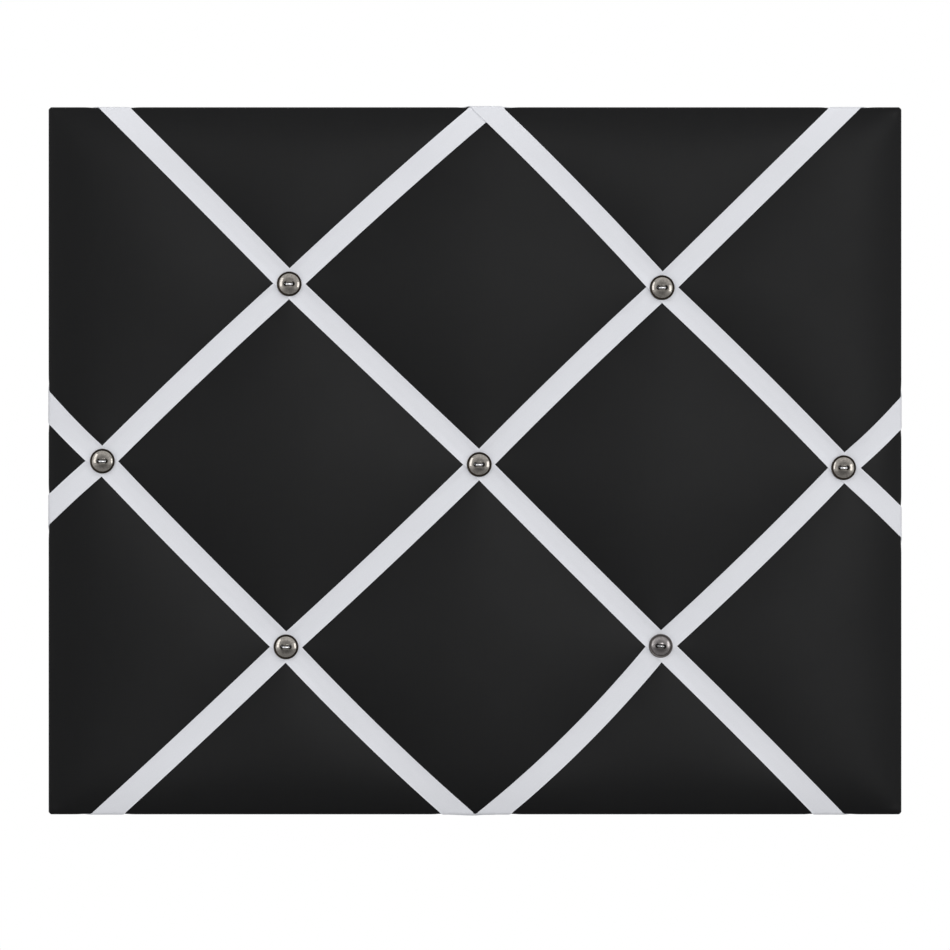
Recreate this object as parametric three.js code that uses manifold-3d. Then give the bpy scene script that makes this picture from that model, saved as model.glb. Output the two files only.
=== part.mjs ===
// French memo board: a wadded, cloth-covered panel with ribbons laid across it in a
// diamond grid. A metal button is wired through the panel at each crossing, and two
// ring hangers on the back hold the board on a wall.
//
// Millimetres. Seen from the front, +X is to the right and +Z is up. +Y points to the
// wall. The origin is the centre of the backing sheet's rear face.
import * as THREE from "three";
import { mergeVertices } from "three/addons/utils/BufferGeometryUtils.js";
import Module from "manifold-3d";

const wasm = await Module();
wasm.setup();

// Panel
const PANEL_WIDTH = 480; // over the cover, side to side
const PANEL_HEIGHT = 398; // over the cover, top to bottom
const CORE_THICKNESS = 9;
const CLOTH_THICKNESS = 0.5;
const BACKING_THICKNESS = 2;
const SEAT_GAP = 0.3; // between pieces that lie on each other
const CORNER_EASE = 0.8; // how far a panel corner is rounded off
const CORNER_RUN = 1; // border on each side of a corner that rounds off with it

// Wadding
const WADDING_UNDER_RIBBON = 5; // where a ribbon presses it
const EDGE_ROUND = 4.5; // roll from the front to the sides
const PUFF_RISE = 0.075; // crown of a diamond, for each millimetre of its inner radius
const TUFT_DEPTH = 1.5; // how far a button draws the pad in

// Ribbons
const RIBBON_WIDTH = 12.5;
const RIBBON_THICKNESS = 0.5;
const RIBBON_RAMP = 14; // length over which an upper ribbon comes down again
const SIDE_BUTTON_INSET = 30; // side button in from the panel edge

// Buttons and the wires that hold them
const BUTTON_DIAMETER = 14;
const BUTTON_HEIGHT = 3.2;
const BUTTON_RIM_HEIGHT = 1.1;
const SLOT_DEPTH = 0.9;
const SLOT_MARGIN = 0.3; // slot past the holes, all round
const HOLE_SPACING = 4.2;
const WIRE_DIAMETER = 1;
const WIRE_PLAY = 0.3; // round a wire in its hole
const WIRE_BEND = 0.5; // corner length of a bend
const WIRE_TAIL = 6; // bent-over end on the back

// Staples
const STAPLE_CROWN = 8;
const STAPLE_WIRE = 0.7;
const STAPLE_COVER = 4; // core left in front of a leg
const STAPLE_INSET = 8; // in from the panel edge
const STAPLE_LEAD = 4; // flat ribbon before its staple
const RIBBON_TAIL = 13; // ribbon past its staple
const RIM_TAIL = 15; // cover past its staples
const BACKING_TAIL = 8; // backing edge past the staples

// Hangers
const HANGER_INSET = 90; // ring axis in from the panel side
const HANGER_DROP = 60; // ring axis down from the panel top
const STRAP_WIDTH = 10;
const STRAP_THICKNESS = 0.9;
const STRAP_END = 6; // screw to the strap's lower end
const RING_WIRE = 2.2;
const RING_LENGTH = 13; // ring axis to the centre line of the bow
const RING_PLAY = 0.3; // round the bar, in the strap's loop
const RING_SIDE_PLAY = 3.9; // between the strap and the ring, on each side
const RING_SCREW_GAP = 3.4; // between the ring and the screw head
const SCREW_HEAD = 7;
const SCREW_HEAD_HEIGHT = 2;
const SCREW_SHANK = 3.4;
const SCREW_COVER = 3.2; // core left in front of the tip
const SCREW_CROSS = 3.6; // driver recess, tip to tip

// Roundness of the shapes
const BUTTON_SIDES = 20;
const WIRE_SIDES = 6;
const RING_SIDES = 8;
const SCREW_SIDES = 16;
const SEGMENT_STEPS = 3; // along a ribbon, from crossing to crossing
const BORDER_STEP = 130; // longest step along the border
const CROWN_RING = 0.5; // share of a diamond's outline where its middle ring lies

// Layers over the wadding and core, as distances outward from them
const COVER_IN = SEAT_GAP;
const COVER_OUT = COVER_IN + CLOTH_THICKNESS;
const RIBBON_IN = COVER_OUT + SEAT_GAP;
const RIBBON_OUT = RIBBON_IN + RIBBON_THICKNESS;
const LIFT = RIBBON_THICKNESS + SEAT_GAP; // upper ribbon over a lower one
const HALF_WIDTH = PANEL_WIDTH / 2 - COVER_OUT;
const HALF_HEIGHT = PANEL_HEIGHT / 2 - COVER_OUT;
const ROUND = Math.min(EDGE_ROUND, WADDING_UNDER_RIBBON);
const BORDER_X = HALF_WIDTH - ROUND;
const BORDER_Z = HALF_HEIGHT - ROUND;

// What lies on the back, counted in from the panel edge
const RIBBON_STEP = STAPLE_INSET - STAPLE_LEAD;
const RIBBON_TURN = STAPLE_INSET + RIBBON_TAIL;
const RIM_WIDTH = STAPLE_INSET + RIM_TAIL;
const BACKING_INSET = STAPLE_INSET + BACKING_TAIL;

// The ribbon grid. Each crossing is off its grid place by the way it was laid by hand.
const GRID_X = (PANEL_WIDTH / 2 - SIDE_BUTTON_INSET) / 2;
const GRID_Z = PANEL_HEIGHT / 4;
const CROSSINGS = {
  upper_left: { column: -1, row: 1, shift: [0.7, -0.2] },
  upper_right: { column: 1, row: 1, shift: [0.1, -2.3] },
  mid_left: { column: -2, row: 0, shift: [0.8, -0.2] },
  centre: { column: 0, row: 0, shift: [2.4, -2.1] },
  mid_right: { column: 2, row: 0, shift: [-3, -3.9] },
  lower_left: { column: -1, row: -1, shift: [-1.1, -5] },
  lower_right: { column: 1, row: -1, shift: [-0.7, -4.4] },
};

// Every ribbon runs to the right. An end lies on an edge, moved along it by its shift,
// and a bow is how far a stretch between two points bends to the ribbon's left.
const RIBBONS = {
  rising_left: {
    start: { edge: "left", shift: 1.7 },
    through: ["mid_left", "upper_left"],
    end: { edge: "top", shift: 5.8 },
    bows: [0, 0, 1.3],
  },
  rising_middle: {
    start: { edge: "bottom", shift: -1.2 },
    through: ["lower_left", "centre", "upper_right"],
    end: { edge: "top", shift: -3.9 },
    bows: [0, 0, 0, 0],
  },
  rising_right: {
    start: { edge: "bottom", shift: 6.2 },
    through: ["lower_right", "mid_right"],
    end: { edge: "right", shift: -0.4 },
    bows: [-3.2, 0, 0],
  },
  falling_left: {
    start: { edge: "left", shift: 1.1 },
    through: ["mid_left", "lower_left"],
    end: { edge: "bottom", shift: -2.7 },
    bows: [0, 0, -1.6],
  },
  falling_middle: {
    start: { edge: "top", shift: 6.2 },
    through: ["upper_left", "centre", "lower_right"],
    end: { edge: "bottom", shift: -5.4 },
    bows: [0, 0, 0, 0],
  },
  falling_right: {
    start: { edge: "top", shift: 8.5 },
    through: ["upper_right", "mid_right"],
    end: { edge: "right", shift: 0.6 },
    bows: [0.9, 0, 0],
  },
};

const EDGES = {
  top: { outX: 0, outZ: 1, half: HALF_HEIGHT, border: BORDER_Z, length: HALF_WIDTH },
  bottom: { outX: 0, outZ: -1, half: HALF_HEIGHT, border: BORDER_Z, length: HALF_WIDTH },
  left: { outX: -1, outZ: 0, half: HALF_WIDTH, border: BORDER_X, length: HALF_HEIGHT },
  right: { outX: 1, outZ: 0, half: HALF_WIDTH, border: BORDER_X, length: HALF_HEIGHT },
};

const COLOURS = {
  cloth: 0x1c1c1e,
  ribbon: 0xe6e6ea,
  nickel: 0x8d8880,
  wire: 0xc4c2bc,
  core: 0x9a7a54,
  wadding: 0xf1efe8,
  backing: 0x232323,
  steel: 0xb9bcc0,
};

const vec = (x, y, z) => new THREE.Vector3(x, y, z);
const flat = (x, z) => new THREE.Vector2(x, z);
const spot = (p) => `${p.x.toFixed(5)} ${p.y.toFixed(5)}`;

// Solids

function geometryFrom(triangles) {
  const positions = triangles.flatMap((p) => [p.x, p.y, p.z]);
  const geometry = new THREE.BufferGeometry();
  geometry.setAttribute("position", new THREE.Float32BufferAttribute(positions, 3));
  return mergeVertices(geometry, 1e-4);
}

function toSolid(geometry) {
  const plain = geometry.clone();
  plain.deleteAttribute("normal");
  plain.deleteAttribute("uv");
  const merged = mergeVertices(plain, 1e-4);
  return new wasm.Manifold(
    new wasm.Mesh({
      numProp: 3,
      vertProperties: new Float32Array(merged.attributes.position.array),
      triVerts: new Uint32Array(merged.index.array),
    }),
  );
}

function toGeometry(solid) {
  const mesh = solid.getMesh();
  const geometry = new THREE.BufferGeometry();
  geometry.setAttribute("position", new THREE.BufferAttribute(mesh.vertProperties, 3));
  geometry.setIndex(new THREE.BufferAttribute(mesh.triVerts, 1));
  return geometry;
}

function cut(geometry, tools) {
  const joined = wasm.Manifold.union(tools.map(toSolid));
  return toGeometry(toSolid(geometry).subtract(joined));
}

// Quads from one closed loop of points to the next
function band(from, to) {
  return from.flatMap((a, i) => {
    const next = (i + 1) % from.length;
    return [a, to[i], to[next], a, to[next], from[next]];
  });
}

// Fan that closes a loop
function lid(loop) {
  const middle = loop.reduce((sum, p) => sum.add(p), vec(0, 0, 0)).divideScalar(loop.length);
  return loop.flatMap((p, i) => [middle, p, loop[(i + 1) % loop.length]]);
}

function loft(loops) {
  const triangles = loops.slice(1).flatMap((loop, i) => band(loops[i], loop));
  const last = [...loops[loops.length - 1]].reverse();
  return geometryFrom([...lid(loops[0]), ...triangles, ...lid(last)]);
}

// Round wire along a path of points, closed or open
function wire(points, radius, sides, closed) {
  const count = points.length;
  const heading = (i) => {
    const before = closed ? points[(i + count - 1) % count] : points[Math.max(i - 1, 0)];
    const after = closed ? points[(i + 1) % count] : points[Math.min(i + 1, count - 1)];
    const inward = points[i].clone().sub(before).normalize();
    const outward = after.clone().sub(points[i]).normalize();
    return inward.add(outward).normalize();
  };
  const first = heading(0);
  let side = Math.abs(first.x) < 0.9 ? vec(1, 0, 0) : vec(0, 1, 0);
  const loops = points.map((p, i) => {
    const along = heading(i);
    side = side.clone().addScaledVector(along, -side.dot(along)).normalize();
    const other = along.clone().cross(side);
    return Array.from({ length: sides }, (_, k) => {
      const angle = (-2 * Math.PI * k) / sides;
      return p
        .clone()
        .addScaledVector(side, radius * Math.cos(angle))
        .addScaledVector(other, radius * Math.sin(angle));
    });
  });
  if (!closed) {
    return loft(loops);
  }
  return geometryFrom(loops.flatMap((loop, i) => band(loop, loops[(i + 1) % count])));
}

// Plate with square holes, on a grid of cuts
function gridPlate(xs, zs, front, rear, isHole) {
  const triangles = [];
  const quad = (a, b, c, d) => triangles.push(a, b, c, a, c, d);
  const solid = (i, k) =>
    i >= 0 && k >= 0 && i < xs.length - 1 && k < zs.length - 1 && !isHole(xs, zs, i, k);
  for (let i = 0; i < xs.length - 1; i += 1) {
    for (let k = 0; k < zs.length - 1; k += 1) {
      if (!solid(i, k)) {
        continue;
      }
      const [x0, x1, z0, z1] = [xs[i], xs[i + 1], zs[k], zs[k + 1]];
      quad(vec(x0, front, z0), vec(x1, front, z0), vec(x1, front, z1), vec(x0, front, z1));
      quad(vec(x0, rear, z0), vec(x0, rear, z1), vec(x1, rear, z1), vec(x1, rear, z0));
      if (!solid(i - 1, k)) {
        quad(vec(x0, front, z0), vec(x0, front, z1), vec(x0, rear, z1), vec(x0, rear, z0));
      }
      if (!solid(i + 1, k)) {
        quad(vec(x1, front, z0), vec(x1, rear, z0), vec(x1, rear, z1), vec(x1, front, z1));
      }
      if (!solid(i, k - 1)) {
        quad(vec(x0, front, z0), vec(x0, rear, z0), vec(x1, rear, z0), vec(x1, front, z0));
      }
      if (!solid(i, k + 1)) {
        quad(vec(x0, front, z1), vec(x1, front, z1), vec(x1, rear, z1), vec(x0, rear, z1));
      }
    }
  }
  return geometryFrom(triangles);
}

// Ribbon layout, on the plan of the front

const places = Object.fromEntries(
  Object.entries(CROSSINGS).map(([name, { column, row, shift }]) => [
    name,
    flat(column * GRID_X + shift[0], row * GRID_Z + shift[1]),
  ]),
);

const along = (edge, p) => (edge.outX ? p.y : p.x);
const out = (edge, p) => p.x * edge.outX + p.y * edge.outZ;
const onEdge = (edge, s, d) => (edge.outX ? flat(edge.outX * d, s) : flat(s, edge.outZ * d));
const turned = (d) => flat(-d.y, d.x);

// Where a ribbon end meets the border, going out from its last crossing
function borderPoint(end, from, rises, outward) {
  const edge = EDGES[end.edge];
  const way = flat(outward * GRID_X, outward * rises * GRID_Z);
  const reach = (edge.border - out(edge, from)) / out(edge, way);
  const met = from.clone().addScaledVector(way, reach);
  return onEdge(edge, along(edge, met) + end.shift, edge.border);
}

function layRibbon(name) {
  const { start, through, end, bows } = RIBBONS[name];
  const rises = name.startsWith("rising") ? 1 : -1;
  const inner = through.map((key) => places[key]);
  const points = [
    borderPoint(start, inner[0], rises, -1),
    ...inner,
    borderPoint(end, inner[inner.length - 1], rises, 1),
  ];
  const chords = points.slice(1).map((p, i) => p.clone().sub(points[i]));
  const headings = points.map((_, i) => {
    const before = chords[Math.max(i - 1, 0)].clone().normalize();
    const after = chords[Math.min(i, chords.length - 1)].clone().normalize();
    return before.add(after).normalize();
  });
  const bend = (i, sign) => {
    const lean = (4 * bows[i] * sign) / chords[i].length();
    return chords[i].clone().normalize().addScaledVector(turned(headings[i]), lean).normalize();
  };
  headings[0] = bend(0, 1);
  headings[points.length - 1] = bend(chords.length - 1, -1);
  return { name, rises, through, bows, points, chords, headings, ends: [start, end] };
}

const ribbons = Object.keys(RIBBONS).map(layRibbon);

// The four corners where the edges of two crossing ribbons meet
const squares = Object.fromEntries(
  Object.keys(CROSSINGS).map((key) => {
    const way = (rises) => {
      const ribbon = ribbons.find((r) => r.rises === rises && r.through.includes(key));
      return ribbon.headings[ribbon.through.indexOf(key) + 1];
    };
    const [up, down] = [way(1), way(-1)];
    const reach = RIBBON_WIDTH / 2 / Math.abs(up.cross(down));
    const corner = (a, b) =>
      places[key].clone().addScaledVector(up, a * reach).addScaledVector(down, b * reach);
    return [
      key,
      { north: corner(1, -1), east: corner(1, 1), south: corner(-1, 1), west: corner(-1, -1) },
    ];
  }),
);

// Left and right points of a ribbon on the border
function borderPair(ribbon, which) {
  const index = which === 0 ? 0 : ribbon.points.length - 1;
  const edge = EDGES[ribbon.ends[which].edge];
  const heading = ribbon.headings[index];
  const half = RIBBON_WIDTH / 2 / Math.abs(out(edge, heading));
  const s = along(edge, ribbon.points[index]);
  const sign = Math.sign(along(edge, turned(heading)));
  const slope = along(edge, heading) / out(edge, heading);
  return {
    ribbon,
    which,
    edge,
    s,
    half,
    sign,
    slope,
    left: onEdge(edge, s + sign * half, edge.border),
    right: onEdge(edge, s - sign * half, edge.border),
  };
}

const borderEnds = ribbons.flatMap((r) => [borderPair(r, 0), borderPair(r, 1)]);

// Spans of a ribbon end, on its way round the edge, where its neighbour crosses it
function crossedSpan(end) {
  const others = borderEnds.filter((e) => e.edge === end.edge && e.ribbon.rises > 0);
  return others
    .filter((other) => end.ribbon.rises < 0)
    .map((other) => {
      const closing = other.slope - end.slope;
      const met = (end.s - other.s) / closing;
      const reach = (end.half + other.half) / Math.abs(closing);
      return [met - reach, met + reach];
    });
}

const RIBBON_ROLL = (Math.PI / 2) * (ROUND + RIBBON_OUT);
const SIDE_DEPTH = CORE_THICKNESS + SEAT_GAP + WADDING_UNDER_RIBBON - ROUND;
const WRAP_PATH = [
  ["border", 0],
  ["roll", RIBBON_ROLL / 2],
  ["side", RIBBON_ROLL],
  ["half", RIBBON_ROLL + SIDE_DEPTH / 2],
  ["corner", RIBBON_ROLL + SIDE_DEPTH + RIBBON_OUT],
  ["step", RIBBON_ROLL + SIDE_DEPTH + RIBBON_OUT],
  ["turn", RIBBON_ROLL + SIDE_DEPTH + RIBBON_OUT],
];

// Middle of a ribbon end along its edge, kept on the panel
function endMiddle(end, travelled) {
  const limit = end.edge.length - end.half;
  return Math.max(-limit, Math.min(limit, end.s + end.slope * travelled));
}

// How far a ribbon end is lifted over its neighbour: just before the border, then at each
// station of its way round the edge
function endLifts(end) {
  const spans = crossedSpan(end);
  const inside = [-RIBBON_RAMP, ...WRAP_PATH.map(([, v]) => v)].map((v) =>
    spans.some(([low, high]) => v > low && v < high),
  );
  return inside.map((own, i) => (own || inside[i - 1] || inside[i + 1] ? LIFT : 0));
}

const END_TRAVEL = WRAP_PATH[WRAP_PATH.length - 1][1];
const backLift = (end) => endLifts(end)[WRAP_PATH.length];

// Depths, from the wall to the front
const BACKING_FRONT = -BACKING_THICKNESS;
const BACK_LAYER = Math.max(
  RIBBON_OUT + Math.max(...borderEnds.map(backLift)),
  SEAT_GAP + WIRE_DIAMETER,
);
const CORE_REAR = BACKING_FRONT - SEAT_GAP - BACK_LAYER;
const CORE_FRONT = CORE_REAR - CORE_THICKNESS;
const WADDING_REAR = CORE_FRONT - SEAT_GAP;
const FRONT = WADDING_REAR - WADDING_UNDER_RIBBON;
const ROUND_START = FRONT + ROUND;
const BUTTON_SEAT = FRONT + TUFT_DEPTH - RIBBON_OUT - LIFT - SEAT_GAP;
const THROUGH = -4 * FRONT; // a hole through the whole board, about its front

// Buttons and hangers
const HOLE_DIAMETER = WIRE_DIAMETER + 2 * WIRE_PLAY;
const SLOT_LENGTH = HOLE_SPACING + HOLE_DIAMETER + 2 * SLOT_MARGIN;
const SLOT_WIDTH = HOLE_DIAMETER + 2 * SLOT_MARGIN;
const STRAP_FOLD = 2 * STRAP_THICKNESS; // strap folded back on itself
const LOOP_IN = RING_WIRE / 2 + RING_PLAY;
const LOOP_OUT = LOOP_IN + STRAP_THICKNESS;
const RING_WIDTH = STRAP_WIDTH + RING_WIRE + 2 * RING_SIDE_PLAY; // over wire centre lines
const RING_REST = STRAP_FOLD + SEAT_GAP + RING_WIRE / 2; // bow off the backing, at rest
const RING_TILT = Math.asin((RING_REST - LOOP_OUT) / RING_LENGTH);
const SCREW_DROP = RING_LENGTH + RING_WIRE / 2 + RING_SCREW_GAP + SCREW_HEAD / 2;
const STRAP_LENGTH = SCREW_DROP + STRAP_END;
const SCREW_DEPTH = CORE_THICKNESS - SCREW_COVER; // in the core
const SCREW_LENGTH = STRAP_FOLD - CORE_REAR + SCREW_DEPTH; // under the head
const STAPLE_LEG = CORE_THICKNESS - STAPLE_COVER; // in the core

// Left and right points where each stretch of a ribbon starts and ends
function stretches(ribbon) {
  const [first, last] = borderEnds.filter((e) => e.ribbon === ribbon);
  const rising = ribbon.rises > 0;
  const corners = ribbon.through.map((key) => squares[key]);
  const enter = corners.map((c) =>
    rising ? { left: c.west, right: c.south } : { left: c.north, right: c.west },
  );
  const leave = corners.map((c) =>
    rising ? { left: c.north, right: c.east } : { left: c.east, right: c.south },
  );
  const starts = [first, ...leave];
  const ends = [...enter, last];
  return starts.map((from, i) => ({
    ribbon,
    from,
    to: ends[i],
    bow: turned(ribbon.chords[i]).normalize().multiplyScalar(ribbon.bows[i]),
    tied: [i > 0, i < starts.length - 1],
    length: ribbon.chords[i].length(),
  }));
}

const layout = ribbons.flatMap(stretches);

// Point on one side of a stretch, and the height of the pad there
function sidePoint(stretch, side, share, ends = stretch) {
  const bowed = 4 * share * (1 - share);
  return ends.from[side].clone().lerp(ends.to[side], share).addScaledVector(stretch.bow, bowed);
}

function padHeight(stretch, share) {
  const near = stretch.tied[0] ? Math.max(0, 1 - share * SEGMENT_STEPS) : 0;
  const far = stretch.tied[1] ? Math.max(0, 1 - (1 - share) * SEGMENT_STEPS) : 0;
  return -TUFT_DEPTH * (near + far);
}

// The pad's surface, as one mesh on the plan: channels under the ribbons, a drawn-in
// square at each crossing, and a pillow in each space between.

// Place on the border, counted anticlockwise from the lower right corner
const BORDER_TURN = 4 * (BORDER_X + BORDER_Z);
function borderPlace(p) {
  if (Math.abs(p.x - BORDER_X) < 1e-6) {
    return p.y + BORDER_Z;
  }
  if (Math.abs(p.y - BORDER_Z) < 1e-6) {
    return 2 * BORDER_Z + BORDER_X - p.x;
  }
  if (Math.abs(p.x + BORDER_X) < 1e-6) {
    return 3 * BORDER_Z + 2 * BORDER_X - p.y;
  }
  return 4 * BORDER_Z + 3 * BORDER_X + p.x;
}

const isBorder = (p) =>
  Math.abs(Math.abs(p.x) - BORDER_X) < 1e-6 || Math.abs(Math.abs(p.y) - BORDER_Z) < 1e-6;

const BORDER_CORNERS = [
  flat(BORDER_X, BORDER_Z),
  flat(-BORDER_X, BORDER_Z),
  flat(-BORDER_X, -BORDER_Z),
  flat(BORDER_X, -BORDER_Z),
];

// A border corner with the points just before and after it
function cornerStops(corner) {
  const onX = flat(corner.x - Math.sign(corner.x) * CORNER_RUN, corner.y);
  const onZ = flat(corner.x, corner.y - Math.sign(corner.y) * CORNER_RUN);
  return corner.x * corner.y > 0 ? [onZ, corner, onX] : [onX, corner, onZ];
}

function borderRun(from, to) {
  const begin = borderPlace(from);
  const length = (borderPlace(to) - begin + BORDER_TURN) % BORDER_TURN;
  const passed = BORDER_CORNERS.filter(
    (c) => (borderPlace(c) - begin + BORDER_TURN) % BORDER_TURN < length,
  );
  const stops = [from, ...passed.flatMap(cornerStops), to];
  const points = stops.slice(1).flatMap((stop, i) => {
    const steps = Math.ceil(stop.distanceTo(stops[i]) / BORDER_STEP);
    return Array.from({ length: steps }, (_, k) => stops[i].clone().lerp(stop, k / steps));
  });
  return [...points, to];
}

function meeting(a, b) {
  const [da, db] = [a.to.clone().sub(a.from), b.to.clone().sub(b.from)];
  const share = b.from.clone().sub(a.from).cross(db) / da.cross(db);
  return a.from.clone().addScaledVector(da, share);
}

function planMesh() {
  const triangles = [];
  const add = (...corners) => triangles.push(corners);
  const at = (p, height) => ({ p, height });
  const quad = (a, b, c, d) => {
    add(a, b, c);
    add(a, c, d);
  };

  // Ends in order round the border, with neighbours that overlap drawn to one point
  const sides = borderEnds.map((end) => {
    const order = borderPlace(end.left) < borderPlace(end.right);
    const [low, high] = order ? ["left", "right"] : ["right", "left"];
    return { end, low, high, left: end.left, right: end.right };
  });
  sides.sort((a, b) => borderPlace(a[a.low]) - borderPlace(b[b.low]));
  const stretchOf = (end) =>
    layout.find((s) => (end.which ? s.to : s.from) === end && s.ribbon === end.ribbon);
  const line = (end, side) => {
    const { from, to } = stretchOf(end);
    return { from: from[side], to: to[side] };
  };
  const paths = [];
  sides.forEach((here, i) => {
    const next = sides[(i + 1) % sides.length];
    const apart = i === sides.length - 1 || borderPlace(here[here.high]) < borderPlace(next[next.low]);
    if (apart) {
      paths.push(borderRun(here[here.high], next[next.low]).map((p) => at(p, 0)));
      return;
    }
    const apex = meeting(line(here.end, here.high), line(next.end, next.low));
    here[here.high] = apex;
    next[next.low] = apex;
    add(at(here[here.low], 0), at(next[next.high], 0), at(apex, 0));
  });

  // Channels and drawn-in squares
  layout.forEach((stretch) => {
    const drawn = (pair) => sides.find((s) => s.end === pair) ?? pair;
    const ends = { from: drawn(stretch.from), to: drawn(stretch.to) };
    const edge = (side) =>
      Array.from({ length: SEGMENT_STEPS + 1 }, (_, i) => {
        const share = i / SEGMENT_STEPS;
        return at(sidePoint(stretch, side, share, ends), padHeight(stretch, share));
      });
    const [left, right] = [edge("left"), edge("right")];
    left.slice(1).forEach((_, i) => quad(right[i], right[i + 1], left[i + 1], left[i]));
    paths.push(left, right.reverse());
  });
  Object.values(squares).forEach(({ north, east, south, west }) => {
    quad(...[east, north, west, south].map((p) => at(p, -TUFT_DEPTH)));
  });

  // Pillows: each closed run of paths bounds one
  const open = new Map(paths.map((path) => [spot(path[0].p), path]));
  while (open.size) {
    const outline = [];
    let [key] = open.keys();
    while (open.has(key)) {
      const path = open.get(key);
      open.delete(key);
      outline.push(...path.slice(0, -1));
      key = spot(path[path.length - 1].p);
    }
    addPillow(outline, add, quad);
  }
  return triangles;
}

function addPillow(outline, add, quad) {
  const points = outline.map((o) => o.p);
  const centre = flat(0, 0);
  let area = 0;
  points.forEach((p, i) => {
    const q = points[(i + 1) % points.length];
    const part = p.cross(q);
    area += part;
    centre.addScaledVector(p.clone().add(q), part / 3);
  });
  centre.divideScalar(area);
  const reach = points.map((p, i) => {
    const side = points[(i + 1) % points.length].clone().sub(p);
    return Math.abs(side.cross(centre.clone().sub(p))) / side.length();
  });
  const crown = PUFF_RISE * Math.min(...reach);
  const ring = outline.map(({ p, height }) => ({
    p: centre.clone().lerp(p, CROWN_RING),
    height: crown + (height - crown) * CROWN_RING ** 2,
  }));
  const top = { p: centre, height: crown };
  outline.forEach((o, i) => {
    const next = (i + 1) % outline.length;
    quad(o, outline[next], ring[next], ring[i]);
    add(ring[i], ring[next], top);
  });
}

const pad = planMesh();
const borderLoop = [
  ...new Map(
    pad.flat().filter((c) => isBorder(c.p)).map((c) => [spot(c.p), c.p]),
  ).values(),
].sort((a, b) => borderPlace(a) - borderPlace(b));

const padFront = (offset) =>
  pad.flat().map(({ p, height }) => vec(p.x, FRONT - height - offset, p.y));
const reversed = (triangles) => [...triangles].reverse();

// Stations of the way round an edge: distance out and depth, at an offset
function wrapStation(half, station, offset) {
  const reach = ROUND + offset;
  const slant = reach * Math.SQRT1_2;
  return {
    border: [half - ROUND, FRONT - offset],
    roll: [half - ROUND + slant, ROUND_START - slant],
    side: [half + offset, ROUND_START],
    half: [half + offset, (ROUND_START + CORE_REAR) / 2],
    corner: [half + offset, CORE_REAR + offset],
    step: [half + COVER_OUT - RIBBON_STEP, CORE_REAR + offset],
    turn: [half + COVER_OUT - RIBBON_TURN, CORE_REAR + offset],
    rim: [half + COVER_OUT - RIM_WIDTH, CORE_REAR + offset],
  }[station];
}

// The border loop carried out to a station
function skirt(station, offset) {
  const [dx, y] = wrapStation(HALF_WIDTH, station, offset);
  const [dz] = wrapStation(HALF_HEIGHT, station, offset);
  return borderLoop.map((p) => {
    const onX = Math.abs(Math.abs(p.x) - BORDER_X) < 1e-6;
    const onZ = Math.abs(Math.abs(p.y) - BORDER_Z) < 1e-6;
    const ease = onX && onZ && station !== "border" && station !== "rim" ? CORNER_EASE : 0;
    if (station === "rim") {
      return vec((p.x * dx) / BORDER_X, y, (p.y * dz) / BORDER_Z);
    }
    const x = onX ? Math.sign(p.x) * (dx - ease) : p.x;
    const z = onZ ? Math.sign(p.y) * (dz - ease) : p.y;
    return vec(x, y, z);
  });
}

function bands(loops) {
  return loops.slice(1).flatMap((loop, i) => band(loops[i], loop));
}

// Pieces

const WIRE_HOLE = WIRE_DIAMETER + 2 * SEAT_GAP;

function wireHoles(keys) {
  return keys.flatMap((key) =>
    [-1, 1].map((side) => {
      const hole = new THREE.BoxGeometry(WIRE_HOLE, THROUGH, WIRE_HOLE);
      return hole.translate(places[key].x + (side * HOLE_SPACING) / 2, FRONT, places[key].y);
    }),
  );
}

// Slit in the cloth for both wires of a button
function wireSlit(key) {
  const slit = new THREE.BoxGeometry(HOLE_SPACING + WIRE_HOLE, THROUGH, WIRE_HOLE);
  return slit.translate(places[key].x, FRONT, places[key].y);
}

const allWireHoles = wireHoles(Object.keys(CROSSINGS));

function waddingPad() {
  const loops = ["border", "roll", "side"].map((station) => skirt(station, 0));
  const rear = loops[2].map((p) => vec(p.x, WADDING_REAR, p.z));
  loops.push(rear);
  const solid = geometryFrom([...padFront(0), ...bands(loops), ...lid([...rear].reverse())]);
  return cut(solid, allWireHoles);
}

function coverCloth(staples) {
  const stations = ["border", "roll", "side", "corner", "rim"];
  const outer = stations.map((station) => skirt(station, COVER_OUT));
  const inner = stations.map((station) => skirt(station, COVER_IN)).reverse();
  const solid = geometryFrom([
    ...padFront(COVER_OUT),
    ...bands([...outer, ...inner]),
    ...reversed(padFront(COVER_IN)),
  ]);
  const slits = [...Object.keys(CROSSINGS).map(wireSlit), ...staples.map(stapleSlit)];
  return cut(solid, slits);
}

function coreBoard(staples) {
  const outline = skirt("side", 0);
  const core = loft(
    [CORE_FRONT, CORE_REAR].map((y) => outline.map((p) => vec(p.x, y, p.z))),
  );
  const screws = hangerPlaces.map(({ x, z }) => {
    const depth = 2 * (SCREW_DEPTH + SEAT_GAP);
    const width = SCREW_SHANK / 2 + SEAT_GAP;
    const hole = new THREE.CylinderGeometry(width, width, depth, SCREW_SIDES);
    return hole.translate(x, CORE_REAR, z - SCREW_DROP);
  });
  return cut(core, [...allWireHoles, ...screws, ...staples.flatMap(stapleHoles)]);
}

function wrapStations(end) {
  const [nearLift, ...lifts] = endLifts(end);
  const stations = WRAP_PATH.map(([station, v], i) => {
    const s = endMiddle(end, v);
    const point = (side) => (offset) => {
      const [d, y] = wrapStation(end.edge.half, station, offset);
      const sign = side === "left" ? end.sign : -end.sign;
      const p = onEdge(end.edge, s + sign * end.half, d);
      return vec(p.x, y, p.y);
    };
    return { left: point("left"), right: point("right"), lift: lifts[i] };
  });
  return { stations, nearLift };
}

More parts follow.
